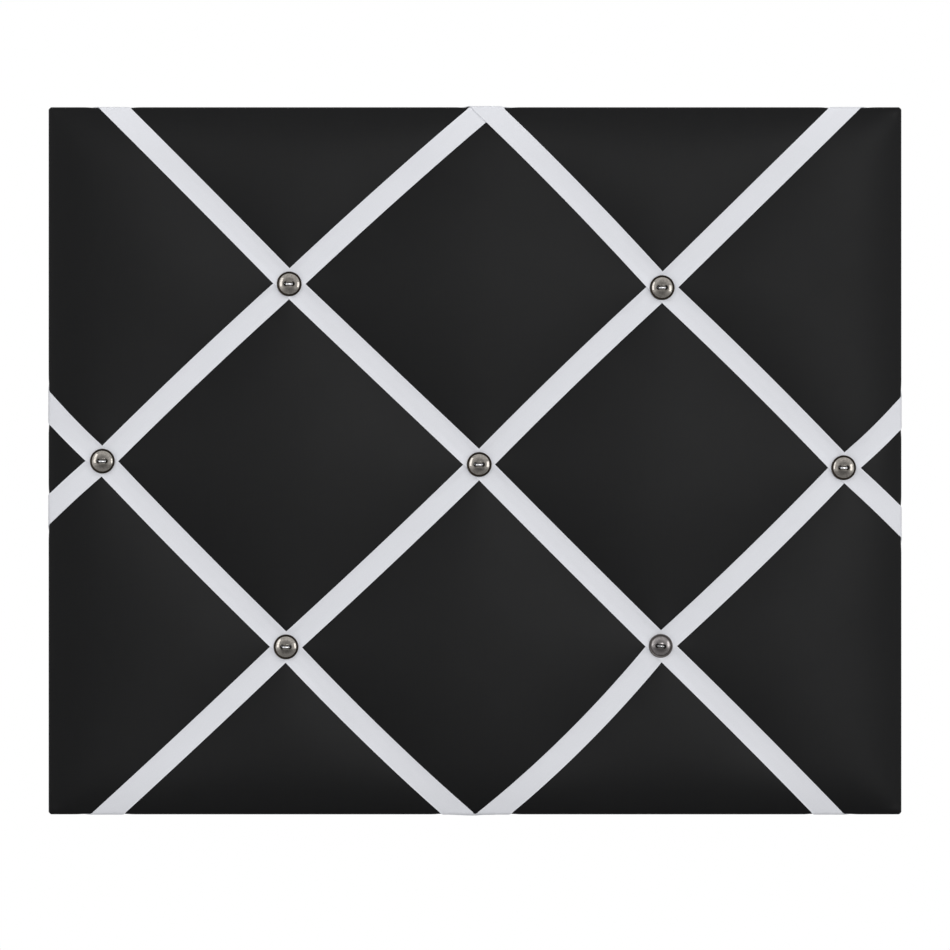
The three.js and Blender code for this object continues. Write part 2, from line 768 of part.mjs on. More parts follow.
function ribbonStations(ribbon) {
  const [first, last] = borderEnds.filter((e) => e.ribbon === ribbon).map(wrapStations);
  const over = ribbon.rises < 0 ? LIFT : 0;
  const front = stretches(ribbon).flatMap((stretch) => {
    const ramp = RIBBON_RAMP / stretch.length;
    const steps = Array.from({ length: SEGMENT_STEPS - 1 }, (_, i) => (i + 1) / SEGMENT_STEPS);
    const ramps = ramp < steps[0] ? [ramp, 1 - ramp] : [];
    const shares = [0, 1, ...steps, ...ramps].sort((a, b) => a - b);
    return shares.map((share, i) => {
      const point = (side) => (offset) => {
        const p = sidePoint(stretch, side, share);
        return vec(p.x, FRONT - padHeight(stretch, share) - offset, p.y);
      };
      const tied = (share === 0 && stretch.tied[0]) || (share === 1 && stretch.tied[1]);
      const near = i === 1 && !stretch.tied[0] ? first.nearLift : 0;
      const far = i === shares.length - 2 && !stretch.tied[1] ? last.nearLift : 0;
      const lift = tied ? over : Math.max(near, far);
      return { left: point("left"), right: point("right"), lift };
    });
  });
  const inner = front.slice(1, -1);
  return [...first.stations.reverse(), ...inner, ...last.stations];
}

function ribbonStrip(ribbon, staples) {
  const loops = ribbonStations(ribbon).map(({ left, right, lift }) => [
    left(RIBBON_OUT + lift),
    left(RIBBON_IN + lift),
    right(RIBBON_IN + lift),
    right(RIBBON_OUT + lift),
  ]);
  const holes = wireHoles(ribbon.through);
  return cut(loft(loops), [...holes, ...staples.flatMap(stapleHoles)]);
}

function buttonShape() {
  const radius = BUTTON_DIAMETER / 2;
  const dome = BUTTON_HEIGHT - BUTTON_RIM_HEIGHT;
  const profile = [
    [0, 0],
    [radius - 0.8, 0],
    [radius - 0.2, BUTTON_RIM_HEIGHT * 0.45],
    [radius, BUTTON_RIM_HEIGHT],
    ...[0.92, 0.72, 0.42].map((share) => [
      radius * share,
      BUTTON_RIM_HEIGHT + dome * Math.sqrt(1 - share ** 2),
    ]),
    [0, BUTTON_HEIGHT],
  ].map(([r, h]) => new THREE.Vector2(r, h));
  const body = new THREE.LatheGeometry(profile, BUTTON_SIDES);
  const slot = new THREE.Shape();
  const straight = (SLOT_LENGTH - SLOT_WIDTH) / 2;
  slot.absarc(straight, 0, SLOT_WIDTH / 2, -Math.PI / 2, Math.PI / 2);
  slot.absarc(-straight, 0, SLOT_WIDTH / 2, Math.PI / 2, (3 * Math.PI) / 2);
  const recess = new THREE.ExtrudeGeometry(slot, {
    depth: 2 * SLOT_DEPTH,
    bevelEnabled: false,
    curveSegments: 4,
  });
  recess.rotateX(-Math.PI / 2).translate(0, BUTTON_HEIGHT - SLOT_DEPTH, 0);
  const holes = [-1, 1].map((side) => {
    const hole = new THREE.CylinderGeometry(HOLE_DIAMETER / 2, HOLE_DIAMETER / 2, 20, 8);
    return hole.translate((side * HOLE_SPACING) / 2, 0, 0);
  });
  return cut(body, [recess, ...holes]);
}

function buttonWire() {
  const leg = HOLE_SPACING / 2;
  const radius = WIRE_DIAMETER / 2;
  const crown = BUTTON_SEAT - BUTTON_HEIGHT + SLOT_DEPTH - SEAT_GAP - radius;
  const tail = CORE_REAR + SEAT_GAP + radius;
  const bend = WIRE_BEND;
  const half = [
    vec(leg, tail, -WIRE_TAIL),
    vec(leg, tail, -bend),
    vec(leg, tail - bend, 0),
    vec(leg, crown + bend, 0),
    vec(leg - bend, crown, 0),
  ];
  const other = half.map((p) => vec(-p.x, p.y, -p.z)).reverse();
  return wire([...half, ...other], radius, WIRE_SIDES, false);
}

// Staples lie along an edge, with their legs in the core
function staplePlace(edge, s, offset) {
  const p = onEdge(edge, s, edge.half + COVER_OUT - STAPLE_INSET);
  return { x: p.x, z: p.y, turned: edge.outX !== 0, seat: CORE_REAR + offset + SEAT_GAP };
}

function stapleBox(place, size, side, depth, middle) {
  const box = new THREE.BoxGeometry(size, depth, size);
  box.translate((side * (STAPLE_CROWN - STAPLE_WIRE)) / 2, middle, 0);
  return place.turned ? box.rotateY(Math.PI / 2) : box;
}

function stapleHoles(place) {
  const depth = 2 * (place.seat - CORE_REAR + STAPLE_LEG + SEAT_GAP);
  return [-1, 1].map((side) =>
    stapleBox(place, STAPLE_WIRE + 2 * SEAT_GAP, side, depth, 0).translate(
      place.x,
      place.seat,
      place.z,
    ),
  );
}

// Slit in the cloth for both legs of a staple
function stapleSlit(place) {
  const width = STAPLE_WIRE + 2 * SEAT_GAP;
  const depth = 2 * (place.seat - CORE_REAR + STAPLE_LEG);
  const slit = new THREE.BoxGeometry(STAPLE_CROWN + 2 * SEAT_GAP, depth, width);
  return (place.turned ? slit.rotateY(Math.PI / 2) : slit).translate(place.x, place.seat, place.z);
}

function stapleShape(place) {
  const half = STAPLE_CROWN / 2;
  const inner = half - STAPLE_WIRE;
  const leg = CORE_REAR - STAPLE_LEG - place.seat;
  const outline = new THREE.Shape(
    [
      [-half, leg],
      [-inner, leg],
      [-inner, 0],
      [inner, 0],
      [inner, leg],
      [half, leg],
      [half, STAPLE_WIRE],
      [-half, STAPLE_WIRE],
    ].map(([x, y]) => new THREE.Vector2(x, y)),
  );
  const shape = new THREE.ExtrudeGeometry(outline, { depth: STAPLE_WIRE, bevelEnabled: false });
  shape.translate(0, 0, -STAPLE_WIRE / 2);
  if (place.turned) {
    shape.rotateY(Math.PI / 2);
  }
  return shape.translate(place.x, place.seat, place.z);
}

const ribbonStaples = borderEnds.map((end) => ({
  name: `ribbon_staple_${end.ribbon.name}_${end.which ? "end" : "start"}`,
  ribbon: end.ribbon,
  ...staplePlace(end.edge, endMiddle(end, END_TRAVEL), RIBBON_OUT + backLift(end)),
}));

// Two cover staples on each edge, in the widest spaces between the ribbon ends
const coverStaples = Object.entries(EDGES).flatMap(([side, edge]) => {
  const taken = borderEnds.filter((e) => e.edge === edge).map((e) => endMiddle(e, END_TRAVEL));
  const stops = [-edge.length, ...taken, edge.length].sort((a, b) => a - b);
  const spaces = stops.slice(1).map((stop, i) => [stop - stops[i], (stop + stops[i]) / 2]);
  spaces.sort((a, b) => b[0] - a[0]);
  return spaces.slice(0, 2).map(([, s]) => ({
    name: `cover_staple_${side}_${s < 0 ? "a" : "b"}`,
    ...staplePlace(edge, s, COVER_OUT),
  }));
});

const hangerPlaces = [-1, 1].map((side) => ({
  name: side < 0 ? "left" : "right",
  x: side * (PANEL_WIDTH / 2 - HANGER_INSET),
  z: PANEL_HEIGHT / 2 - HANGER_DROP,
}));

function backingSheet() {
  const x = PANEL_WIDTH / 2 - BACKING_INSET;
  const z = PANEL_HEIGHT / 2 - BACKING_INSET;
  const hole = SCREW_SHANK / 2 + SEAT_GAP;
  const screwZ = hangerPlaces[0].z - SCREW_DROP;
  const clear = hangerPlaces[0].z - STRAP_LENGTH - RING_WIRE - SEAT_GAP;
  const xs = [-x, ...hangerPlaces.flatMap((h) => [h.x - hole, h.x + hole]), x];
  const zs = [-z, clear, screwZ - hole, screwZ + hole, z];
  const isHole = (_, __, i, k) => (i === 1 || i === 3) && k === 2;
  return gridPlate(xs, zs, BACKING_FRONT, 0, isHole);
}

// Strap seen from its side: a tongue folded round the ring's bar and back on itself
function hangerStrap() {
  const side = new THREE.Shape();
  side.moveTo(0, -STRAP_LENGTH);
  side.lineTo(STRAP_FOLD, -STRAP_LENGTH);
  side.lineTo(STRAP_FOLD, -1.7 * LOOP_OUT);
  side.lineTo(LOOP_OUT * (1 + Math.SQRT1_2), -LOOP_OUT * Math.SQRT1_2);
  side.absarc(LOOP_OUT, 0, LOOP_OUT, -Math.PI / 4, Math.PI, false);
  const loop = new THREE.Path();
  loop.absarc(LOOP_OUT, 0, LOOP_IN, 0, 2 * Math.PI, true);
  side.holes.push(loop);
  const strap = new THREE.ExtrudeGeometry(side, {
    depth: STRAP_WIDTH,
    bevelEnabled: false,
    curveSegments: 9,
  });
  // The outline's first axis becomes +Y, its second +Z and the depth +X
  const turn = new THREE.Matrix4().makeBasis(vec(0, 1, 0), vec(0, 0, 1), vec(1, 0, 0));
  strap.applyMatrix4(turn).translate(-STRAP_WIDTH / 2, 0, 0);
  const width = SCREW_SHANK / 2 + SEAT_GAP;
  const hole = new THREE.CylinderGeometry(width, width, 20, SCREW_SIDES);
  hole.translate(0, 0, -SCREW_DROP);
  return cut(strap, [hole]);
}

// Ring hanging from its bar, which lies on the X axis
function hangerRing() {
  const half = RING_WIDTH / 2;
  const straight = RING_LENGTH * 0.4;
  const bow = Array.from({ length: 9 }, (_, i) => {
    const angle = (Math.PI * i) / 8;
    const drop = straight + (RING_LENGTH - straight) * Math.sin(angle);
    return vec(half * Math.cos(angle), 0, -drop);
  });
  const corner = RING_WIRE / 2;
  const points = [
    vec(half - corner, 0, 0),
    vec(half, 0, -corner),
    ...bow,
    vec(-half, 0, -corner),
    vec(corner - half, 0, 0),
  ];
  return wire(points, RING_WIRE / 2, RING_SIDES, true);
}

function hangerScrew() {
  const shank = SCREW_SHANK / 2;
  const head = SCREW_HEAD / 2;
  const profile = [
    [0, -SCREW_LENGTH],
    [shank, 2 * shank - SCREW_LENGTH],
    [shank, 0],
    [head, 0],
    [head, SCREW_HEAD_HEIGHT * 0.35],
    [head * 0.8, SCREW_HEAD_HEIGHT * 0.85],
    [0, SCREW_HEAD_HEIGHT],
  ].map(([r, h]) => new THREE.Vector2(r, h));
  const body = new THREE.LatheGeometry(profile, SCREW_SIDES);
  const arms = [0, Math.PI / 2].map((angle) => {
    const arm = new THREE.BoxGeometry(SCREW_CROSS, SCREW_HEAD_HEIGHT, SCREW_CROSS / 4);
    return arm.rotateY(angle).translate(0, SCREW_HEAD_HEIGHT, 0);
  });
  return cut(body, arms);
}

// Assembly

const board = new THREE.Group();
board.name = "french_memo_board";

function place(name, geometry, colour, metalness = 0) {
  const material = new THREE.MeshStandardMaterial({
    color: colour,
    metalness,
    roughness: metalness ? 0.35 : 0.9,
  });
  const mesh = new THREE.Mesh(geometry, material);
  mesh.name = name;
  board.add(mesh);
  return mesh;
}

const staples = [...ribbonStaples, ...coverStaples];
place("core_board", coreBoard(staples), COLOURS.core);
place("wadding_pad", waddingPad(), COLOURS.wadding);
place("cover_cloth", coverCloth(staples), COLOURS.cloth);
place("backing_sheet", backingSheet(), COLOURS.backing);

ribbons.forEach((ribbon) => {
  const own = ribbonStaples.filter((s) => s.ribbon === ribbon);
  place(`ribbon_${ribbon.name}`, ribbonStrip(ribbon, own), COLOURS.ribbon);
});

const button = buttonShape();
const tie = buttonWire();
Object.entries(places).forEach(([key, p]) => {
  const mesh = place(`button_${key}`, button, COLOURS.nickel, 1);
  mesh.rotation.x = Math.PI;
  mesh.position.set(p.x, BUTTON_SEAT, p.y);
  place(`button_wire_${key}`, tie, COLOURS.wire, 1).position.set(p.x, 0, p.y);
});

staples.forEach((staple) => place(staple.name, stapleShape(staple), COLOURS.steel, 1));

const strap = hangerStrap();
const ring = hangerRing();
const screw = hangerScrew();
hangerPlaces.forEach(({ name, x, z }) => {
  place(`hanger_strap_${name}`, strap, COLOURS.steel, 1).position.set(x, 0, z);
  const hung = place(`hanger_ring_${name}`, ring, COLOURS.steel, 1);
  hung.position.set(x, LOOP_OUT, z);
  hung.rotation.x = RING_TILT;
  const held = place(`hanger_screw_${name}`, screw, COLOURS.steel, 1);
  held.position.set(x, STRAP_FOLD, z - SCREW_DROP);
});

export default board;
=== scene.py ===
"""French memo board: a padded cloth panel with a grid of satin ribbons and metal buttons.

Run as a script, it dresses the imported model: swollen cover cloth, wrapped ribbons, turned
buttons with their wire ties, backing card and ring hangers, in the model's own frame.
"""

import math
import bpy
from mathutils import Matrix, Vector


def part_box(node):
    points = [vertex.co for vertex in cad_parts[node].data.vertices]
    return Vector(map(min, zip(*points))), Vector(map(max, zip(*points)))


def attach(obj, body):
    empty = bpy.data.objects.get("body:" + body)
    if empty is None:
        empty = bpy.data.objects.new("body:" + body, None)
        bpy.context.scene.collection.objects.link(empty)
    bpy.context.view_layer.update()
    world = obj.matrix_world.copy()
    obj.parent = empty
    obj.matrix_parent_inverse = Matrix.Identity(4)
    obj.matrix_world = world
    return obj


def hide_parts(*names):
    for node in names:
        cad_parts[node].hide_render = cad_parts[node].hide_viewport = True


bl_info = {
    "name": "French memo board",
    "version": (1, 0, 0),
    "blender": (4, 5, 0),
    "location": "View3D > Sidebar > Memo board",
    "description": "Builds a padded memo board with a ribbon grid and buttons on its frame",
    "category": "Object",
}

import bmesh
import bpy
import numpy as np
from mathutils import Matrix, Vector

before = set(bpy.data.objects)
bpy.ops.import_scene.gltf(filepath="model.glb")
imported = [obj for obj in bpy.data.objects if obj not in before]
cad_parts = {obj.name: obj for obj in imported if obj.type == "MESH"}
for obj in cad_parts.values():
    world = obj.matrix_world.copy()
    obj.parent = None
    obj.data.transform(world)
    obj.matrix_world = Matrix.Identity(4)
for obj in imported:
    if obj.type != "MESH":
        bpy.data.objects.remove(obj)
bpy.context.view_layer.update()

# Places from the frame, in metres
COVER_LOW, COVER_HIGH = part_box("cover_cloth")
PAD_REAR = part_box("wadding_pad")[1].y
BUTTON_NODES = sorted(
    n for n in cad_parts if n.startswith("button_") and not n.startswith("button_wire_")
)
STAPLE_NODES = sorted(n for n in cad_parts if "_staple_" in n)


def middle(node):
    """Centre of a node's box."""
    low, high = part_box(node)
    return (low + high) / 2


CROSSINGS = {
    n.removeprefix("button_"): np.array([middle(n).x, middle(n).z]) for n in BUTTON_NODES
}

# Layers, in metres, with the gap between one and the next
SEAT = 0.0001
CLOTH = 0.0004
RIBBON = 0.0004
LIFT = RIBBON + SEAT
LIFT_EASE = 0.010
NEAR = 0.00001
WELD = 0.000002

# Fall of the front towards its border, and the rounding of edges and corners
EDGE_ROUND = 0.0022
EDGE_DROP = 0.0036
EDGE_REACH = 0.030
EDGE_FALL = 2.5
CORNER_EASE = 0.010
CORNER_STEPS = 6
CORNER_POWER = 1.4
BACK_ROUND = 0.001

# Where ribbons and buttons hold the cover and draw it in
EDGE_PRESS = 0.0005
PRESS_START = 0.004
PRESS_EASE = 0.005
RIBBON_HOLD = 0.36
BUTTON_HOLD = 0.007
TUFT = 0.0009
TUFT_FLAT = 0.005
TUFT_REACH = 0.046
TUFT_FALL = 1.6

# Turns of cloth and ribbon on the back
HEM = 0.023
HEM_STAGES = (0.004, 0.012, HEM - BACK_ROUND)
FOLD_INSET = 0.0016
FOLD_LENGTH = 0.030
FOLD_MITRE = 0.021
FOLD_EASE = 0.0025
BIAS = 0.7
RIBBON_TURN = 0.021
TAIL_DRAW = 0.011
TAIL_NARROWING = 0.22

# Button: its outer radius, bead, groove and face, and the slot that its holes lie in
BUTTON = 0.0070
BEAD = 0.0065
GROOVE = 0.0060
FACE = 0.00585
SLOT = 0.0012
SLOT_REACH = 0.0019

# Levels and lines of the cover's outer face
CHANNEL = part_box("ribbon_rising_middle")[0].y + RIBBON + SEAT
REAR = COVER_HIGH.y
HALF_X, HALF_Z = COVER_HIGH.x, COVER_HIGH.z
LEAN = math.atan(EDGE_FALL * EDGE_DROP / EDGE_REACH)
BORDER_X, BORDER_Z = (h - EDGE_ROUND * (1 - math.sin(LEAN)) for h in (HALF_X, HALF_Z))
ROLL = EDGE_ROUND * (math.pi / 2 - LEAN)
EDGE = CHANNEL + EDGE_DROP
SHOULDER = EDGE + EDGE_ROUND * math.cos(LEAN)
SIDE = REAR - BACK_ROUND - SHOULDER
TURN = BACK_ROUND * math.pi / 2
WRAP = ROLL + SIDE + TURN

# Ribbons run to the right. Each end lies on an edge, at a place along it, and a bow is how
# far a stretch bends to the ribbon's left.
ROUTES = {
    "rising_left": {
        "start": ("left", -0.0263),
        "through": ["mid_left", "upper_left"],
        "end": ("top", 0.0050),
        "bows": [0.0003, 0.0009, 0.0009],
    },
    "rising_middle": {
        "start": ("bottom", -0.2053),
        "through": ["lower_left", "centre", "upper_right"],
        "end": ("top", 0.2069),
        "bows": [-0.0004, -0.0007, 0.0010, 0],
    },
    "rising_right": {
        "start": ("bottom", 0.0118),
        "through": ["lower_right", "mid_right"],
        "end": ("right", 0.0256),
        "bows": [-0.0032, -0.0013, -0.0007],
    },
    "falling_left": {
        "start": ("left", 0.0287),
        "through": ["mid_left", "lower_left"],
        "end": ("bottom", -0.0108),
        "bows": [-0.0005, -0.0008, -0.0015],
    },
    "falling_middle": {
        "start": ("top", -0.2016),
        "through": ["upper_left", "centre", "lower_right"],
        "end": ("bottom", 0.1976),
        "bows": [0.0002, -0.0001, -0.0003, 0.0005],
    },
    "falling_right": {
        "start": ("top", 0.0079),
        "through": ["upper_right", "mid_right"],
        "end": ("right", -0.0332),
        "bows": [0.0012, 0.0010, 0.0003],
    },
}
EDGE_LINES = {
    "left": (np.array([-1.0, 0.0]), BORDER_X),
    "right": (np.array([1.0, 0.0]), BORDER_X),
    "bottom": (np.array([0.0, -1.0]), BORDER_Z),
    "top": (np.array([0.0, 1.0]), BORDER_Z),
}


class MemoBoardSettings(bpy.types.PropertyGroup):
    """Sizes and colours of the board that can be changed."""

    cell: bpy.props.FloatProperty(
        name="Cloth cell",
        description="Side of a face of the cover cloth",
        default=0.0024,
        min=0.001,
        unit="LENGTH",
    )
    crown: bpy.props.FloatProperty(
        name="Crown",
        description="How far the fullest diamond stands out from the ribbons",
        default=CHANNEL - COVER_LOW.y,
        min=0.0,
        unit="LENGTH",
    )
    ribbon_width: bpy.props.FloatProperty(
        name="Ribbon width",
        description="Width of a ribbon, edge to edge",
        default=0.0125,
        min=0.011,
        unit="LENGTH",
    )
    thread: bpy.props.FloatProperty(
        name="Thread spacing",
        description="Distance from one thread of the cover to the next",
        default=0.00055,
        min=0.0001,
        unit="LENGTH",
    )
    cloth_colour: bpy.props.FloatVectorProperty(
        name="Cloth",
        description="Colour of the cover",
        subtype="COLOR",
        size=4,
        default=(0.0071, 0.0072, 0.0075, 1.0),
    )
    ribbon_colour: bpy.props.FloatVectorProperty(
        name="Ribbon",
        description="Colour of the satin",
        subtype="COLOR",
        size=4,
        default=(0.719, 0.728, 0.765, 1.0),
    )
    button_colour: bpy.props.FloatVectorProperty(
        name="Button",
        description="Colour of the buttons' bright metal",
        subtype="COLOR",
        size=4,
        default=(0.31, 0.29, 0.265, 1.0),
    )
    tarnish_colour: bpy.props.FloatVectorProperty(
        name="Tarnish",
        description="Colour of a button gone dull",
        subtype="COLOR",
        size=4,
        default=(0.26, 0.243, 0.243, 1.0),
    )
    steel_colour: bpy.props.FloatVectorProperty(
        name="Steel",
        description="Colour of wires, staples and hangers",
        subtype="COLOR",
        size=4,
        default=(0.56, 0.56, 0.57, 1.0),
    )
    card_colour: bpy.props.FloatVectorProperty(
        name="Card",
        description="Colour of the backing card",
        subtype="COLOR",
        size=4,
        default=(0.022, 0.022, 0.023, 1.0),
    )


# Finishes


class Socket:
    """A shader output that takes part in sums."""

    def __init__(self, tree, output):
        self.tree = tree
        self.output = output

    def math(self, operation, *values):
        return self.tree.node("ShaderNodeMath", {"operation": operation}, dict(enumerate(values)))

    def __add__(self, other):
        return self.math("ADD", self, other)

    __radd__ = __add__

    def __sub__(self, other):
        return self.math("SUBTRACT", self, other)

    def __rsub__(self, other):
        return self.math("SUBTRACT", other, self)

    def __mul__(self, other):
        return self.math("MULTIPLY", self, other)

    __rmul__ = __mul__

    def __pow__(self, other):
        return self.math("POWER", self, other)

    def __abs__(self):
        return self.math("ABSOLUTE", self)

    def sine(self):
        return self.math("SINE", self)

    def over(self, low, high):
        """Rises smoothly from 0 at low to 1 at high."""
        return self.tree.node(
            "ShaderNodeMapRange",
            {"interpolation_type": "SMOOTHSTEP"},
            {0: self, 1: low, 2: high},
        )


class Shading:
    """Nodes of one material or world."""

    def __init__(self, owner):
        owner.use_nodes = True
        self.tree = owner.node_tree

    def node(self, kind, settings=None, sockets=None, output=0):
        """A new node: its settings, then the values or links of its sockets."""
        node = self.tree.nodes.new(kind)
        for key, value in (settings or {}).items():
            setattr(node, key, value)
        for key, value in (sockets or {}).items():
            self.join(value, node.inputs[key])
        return Socket(self, node.outputs[output])

    def join(self, value, socket):
        if isinstance(value, Socket):
            self.tree.links.new(value.output, socket)
        else:
            socket.default_value = value

    def blend(self, share, first, second):
        return self.node("ShaderNodeMix", {"data_type": "RGBA"}, {0: share, 6: first, 7: second}, 2)

    def shade(self, colour, share):
        """A colour made lighter or darker by a value around 1."""
        grey = self.node("ShaderNodeCombineXYZ", None, {0: share, 1: share, 2: share})
        sockets = {0: colour[:3], 1: grey}
        return self.node("ShaderNodeVectorMath", {"operation": "MULTIPLY"}, sockets)

    def noise(self, place, scale, detail=2.0, roughness=0.5):
        sockets = {"Vector": place, "Scale": scale, "Detail": detail, "Roughness": roughness}
        return self.node("ShaderNodeTexNoise", None, sockets)

    def place(self):
        return self.node("ShaderNodeTexCoord", None, None, "Object")

    def stretched(self, place, scale):
        return self.node("ShaderNodeMapping", None, {"Vector": place, "Scale": scale})

    def map(self):
        """The piece's own map, as two values in metres."""
        uv = self.node("ShaderNodeUVMap", {"uv_map": "cut"})
        return uv, [self.node("ShaderNodeSeparateXYZ", None, {0: uv}, i) for i in (0, 1)]

    def bump(self, height, distance, strength=1.0):
        sockets = {"Height": height, "Distance": distance, "Strength": strength}
        return self.node("ShaderNodeBump", None, sockets)

    def shown(self):
        """1 to the rays that show the surroundings, 0 to those that light the board."""
        rays = [
            self.node("ShaderNodeLightPath", None, None, f"Is {ray} Ray")
            for ray in ("Camera", "Glossy", "Transmission")
        ]
        return rays[0].math("MINIMUM", rays[0] + rays[1] + rays[2], 1.0)

    def surface(self, **sockets):
        bsdf = self.tree.nodes["Principled BSDF"]
        for key, value in sockets.items():
            self.join(value, bsdf.inputs[key.replace("_", " ")])


WHITE = (1.0, 1.0, 1.0, 1.0)
# Black for the buttons' rims, and painted shade in their slots and holes
BLACK_FOR_RIM_AND_PAINTED_SHADE = (0.010, 0.008, 0.006, 1.0)
FIBREBOARD = (0.30, 0.19, 0.10, 1.0)
FIBRE_WHITE = (0.82, 0.81, 0.78, 1.0)
FLOOR_GREY = (0.6, 0.6, 0.6, 1.0)

# Fine marks, in metres, and the stretches over which the painted shade of slot and holes, the
# darker middle of a button left by its painted edge highlight, and the floor fade
RIB_SPACING = 0.0005
SELVEDGE = 0.0010
SELVEDGE_LINE = 0.0004
SLOT_PAINTED_SHADE = (SLOT, SLOT + 0.0004)
HOLE_PAINTED_SHADE = (0.0014, 0.0020)
PAINTED_HIGHLIGHT_FADE = (0.0026, 0.0047)
FLOOR_FADE = (0.46, 1.4)

finishes = {}


def finished(make):
    """The material that a finish makes, made once."""
    if make not in finishes:
        finishes[make] = bpy.data.materials.new(make.__name__)
        make(Shading(finishes[make]), bpy.context.scene.memo_board)
    return finishes[make]


def cover_cotton(s, settings):
    """Black plain-weave cotton, slightly uneven, with a little lint."""
    uv, (across, up) = s.map()
    turn = 2 * math.pi / settings.thread
    weave = (across * turn).sine() * (up * turn).sine()
    slub = s.noise(s.stretched(uv, (900.0, 60.0, 1.0)), 1.0) + s.noise(
        s.stretched(uv, (60.0, 900.0, 1.0)), 1.0
    )
    cloud = s.noise(uv, 14.0, 3.0)
    lint = s.noise(uv, 700.0, 2.0).over(0.68, 0.76)
    level = 0.86 + cloud * 0.2 + (slub - 1) * 0.22 + weave * 0.05 + lint * 0.12
    s.surface(
        Base_Color=s.shade(settings.cloth_colour, level),
        Roughness=0.49 - cloud * 0.06,
        Specular_IOR_Level=0.071,
        Normal=s.bump(weave * 0.5 + slub * 0.5, 0.00002, 0.5),
    )


def white_satin(s, settings):
    """White satin: smooth face, fine threads along its length and firm edges."""
    uv, (across, along) = s.map()
    half = settings.ribbon_width / 2
    edge = abs(across).over(half - SELVEDGE, half - SELVEDGE / 2)
    rim = abs(across).over(half - SELVEDGE_LINE, half)
    threads = s.noise(s.stretched(uv, (5200.0, 90.0, 1.0)), 1.0, 2.0)
    ribs = (along * (2 * math.pi / RIB_SPACING)).sine()
    cloud = s.noise(s.stretched(uv, (60.0, 25.0, 1.0)), 1.0, 2.0)
    grain = s.noise(uv, 1500.0, 1.0)
    level = 0.955 + cloud * 0.05 + (threads - 0.5) * 0.05 + (grain - 0.5) * 0.08 + ribs * 0.006
    level = level + edge * 0.03 - rim * 0.05
    height = threads * 0.4 + ribs * 0.12 + edge * 0.9
    s.surface(
        Base_Color=s.shade(settings.ribbon_colour, level),
        Roughness=0.52 + edge * 0.12 - threads * 0.08,
        Specular_IOR_Level=0.12,
        Normal=s.bump(height, 0.00003, 0.6),
    )


def antiqued(s, colour, roughness, face, blackening):
    """Domed metal, darker in the middle so that its edge carries a painted highlight, black in the
    rim, with painted shade in the slot and the holes.
    """
    uv, (across, up) = s.map()
    radius = (across**2 + up**2) ** 0.5
    rim = radius.over(face, GROOVE) * (1 - radius.over(BEAD, BUTTON) * 0.15) * blackening
    past_middle = abs(across) - SLOT_REACH
    beyond = past_middle.math("MAXIMUM", past_middle, 0.0)
    # Painted shade: the slot, and its holes darker still, are coloured dark where the recess lies
    # in shadow
    slot = 1 - ((beyond**2 + up**2) ** 0.5).over(*SLOT_PAINTED_SHADE)
    painted_hole_shade = abs(across).over(*HOLE_PAINTED_SHADE)
    # Painted highlight: the middle of the dome is darker and its edge brighter, standing for
    # reflected lamps
    dim_middle_for_painted_highlight = 1 - radius.over(*PAINTED_HIGHLIGHT_FADE)
    stain = s.noise(s.place(), 1100.0, 3.0, 0.65).over(0.35, 0.7)
    scratch = s.noise(s.stretched(uv, (2600.0, 1200.0, 1.0)), 1.0, 2.0)
    # Black of the rim, together with the painted shade of slot and holes
    black_rim_and_painted_shade = rim.math("MAXIMUM", rim, slot * (0.42 + painted_hole_shade * 0.55))
    level = (1.08 + scratch * 0.2 - stain * 0.4) * (1 - dim_middle_for_painted_highlight * 0.5)
    s.surface(
        Base_Color=s.blend(black_rim_and_painted_shade, s.shade(colour, level), BLACK_FOR_RIM_AND_PAINTED_SHADE),
        Metallic=1.0,
        Roughness=roughness + stain * 0.05 + rim * 0.3 + slot * 0.45 + scratch * 0.03,
        Normal=s.bump(scratch + stain, 0.00001, 0.3),
    )


def button_nickel(s, settings):
    """Antiqued nickel."""
    antiqued(s, settings.button_colour, roughness=0.05, face=0.0057, blackening=1.0)


def button_tarnished(s, settings):
    """The same nickel gone dull all over."""
    antiqued(s, settings.tarnish_colour, roughness=0.18, face=0.0049, blackening=0.8)


def wire(s, settings, brightness):
    """Steel wire with fine marks along it."""
    place = s.place()
    mark = s.noise(place, 2400.0, 2.0)
    dull = s.noise(place, 260.0, 3.0).over(0.45, 0.75)
    level = brightness - dull * 0.25 + (mark - 0.5) * 0.15
    s.surface(
        Base_Color=s.shade(settings.steel_colour, level),
        Metallic=1.0,
        Roughness=0.26 + dull * 0.14,
        Normal=s.bump(mark, 0.00001, 0.3),
    )


def drawn_wire(s, settings):
    """Bright drawn wire."""
    wire(s, settings, 1.25)


def wire_tarnished(s, settings):
    """Wire gone grey."""
    wire(s, settings, 0.7)


def zinc_steel(s, settings):
    """Zinc-plated steel, faintly mottled and brushed."""
    place = s.place()
    spangle = s.node(
        "ShaderNodeTexVoronoi", None, {"Vector": place, "Scale": 420.0, "Randomness": 1.0}
    )
    brush = s.noise(s.stretched(place, (2200.0, 2200.0, 140.0)), 1.0, 2.0)
    dull = s.noise(place, 130.0, 3.0).over(0.4, 0.75)
    s.surface(
        Base_Color=s.shade(settings.steel_colour, 0.96 + (spangle - 0.5) * 0.1 - dull * 0.16),
        Metallic=1.0,
        Roughness=0.3 + dull * 0.14 + (brush - 0.5) * 0.1,
        Normal=s.bump(brush, 0.00001, 0.5),
    )


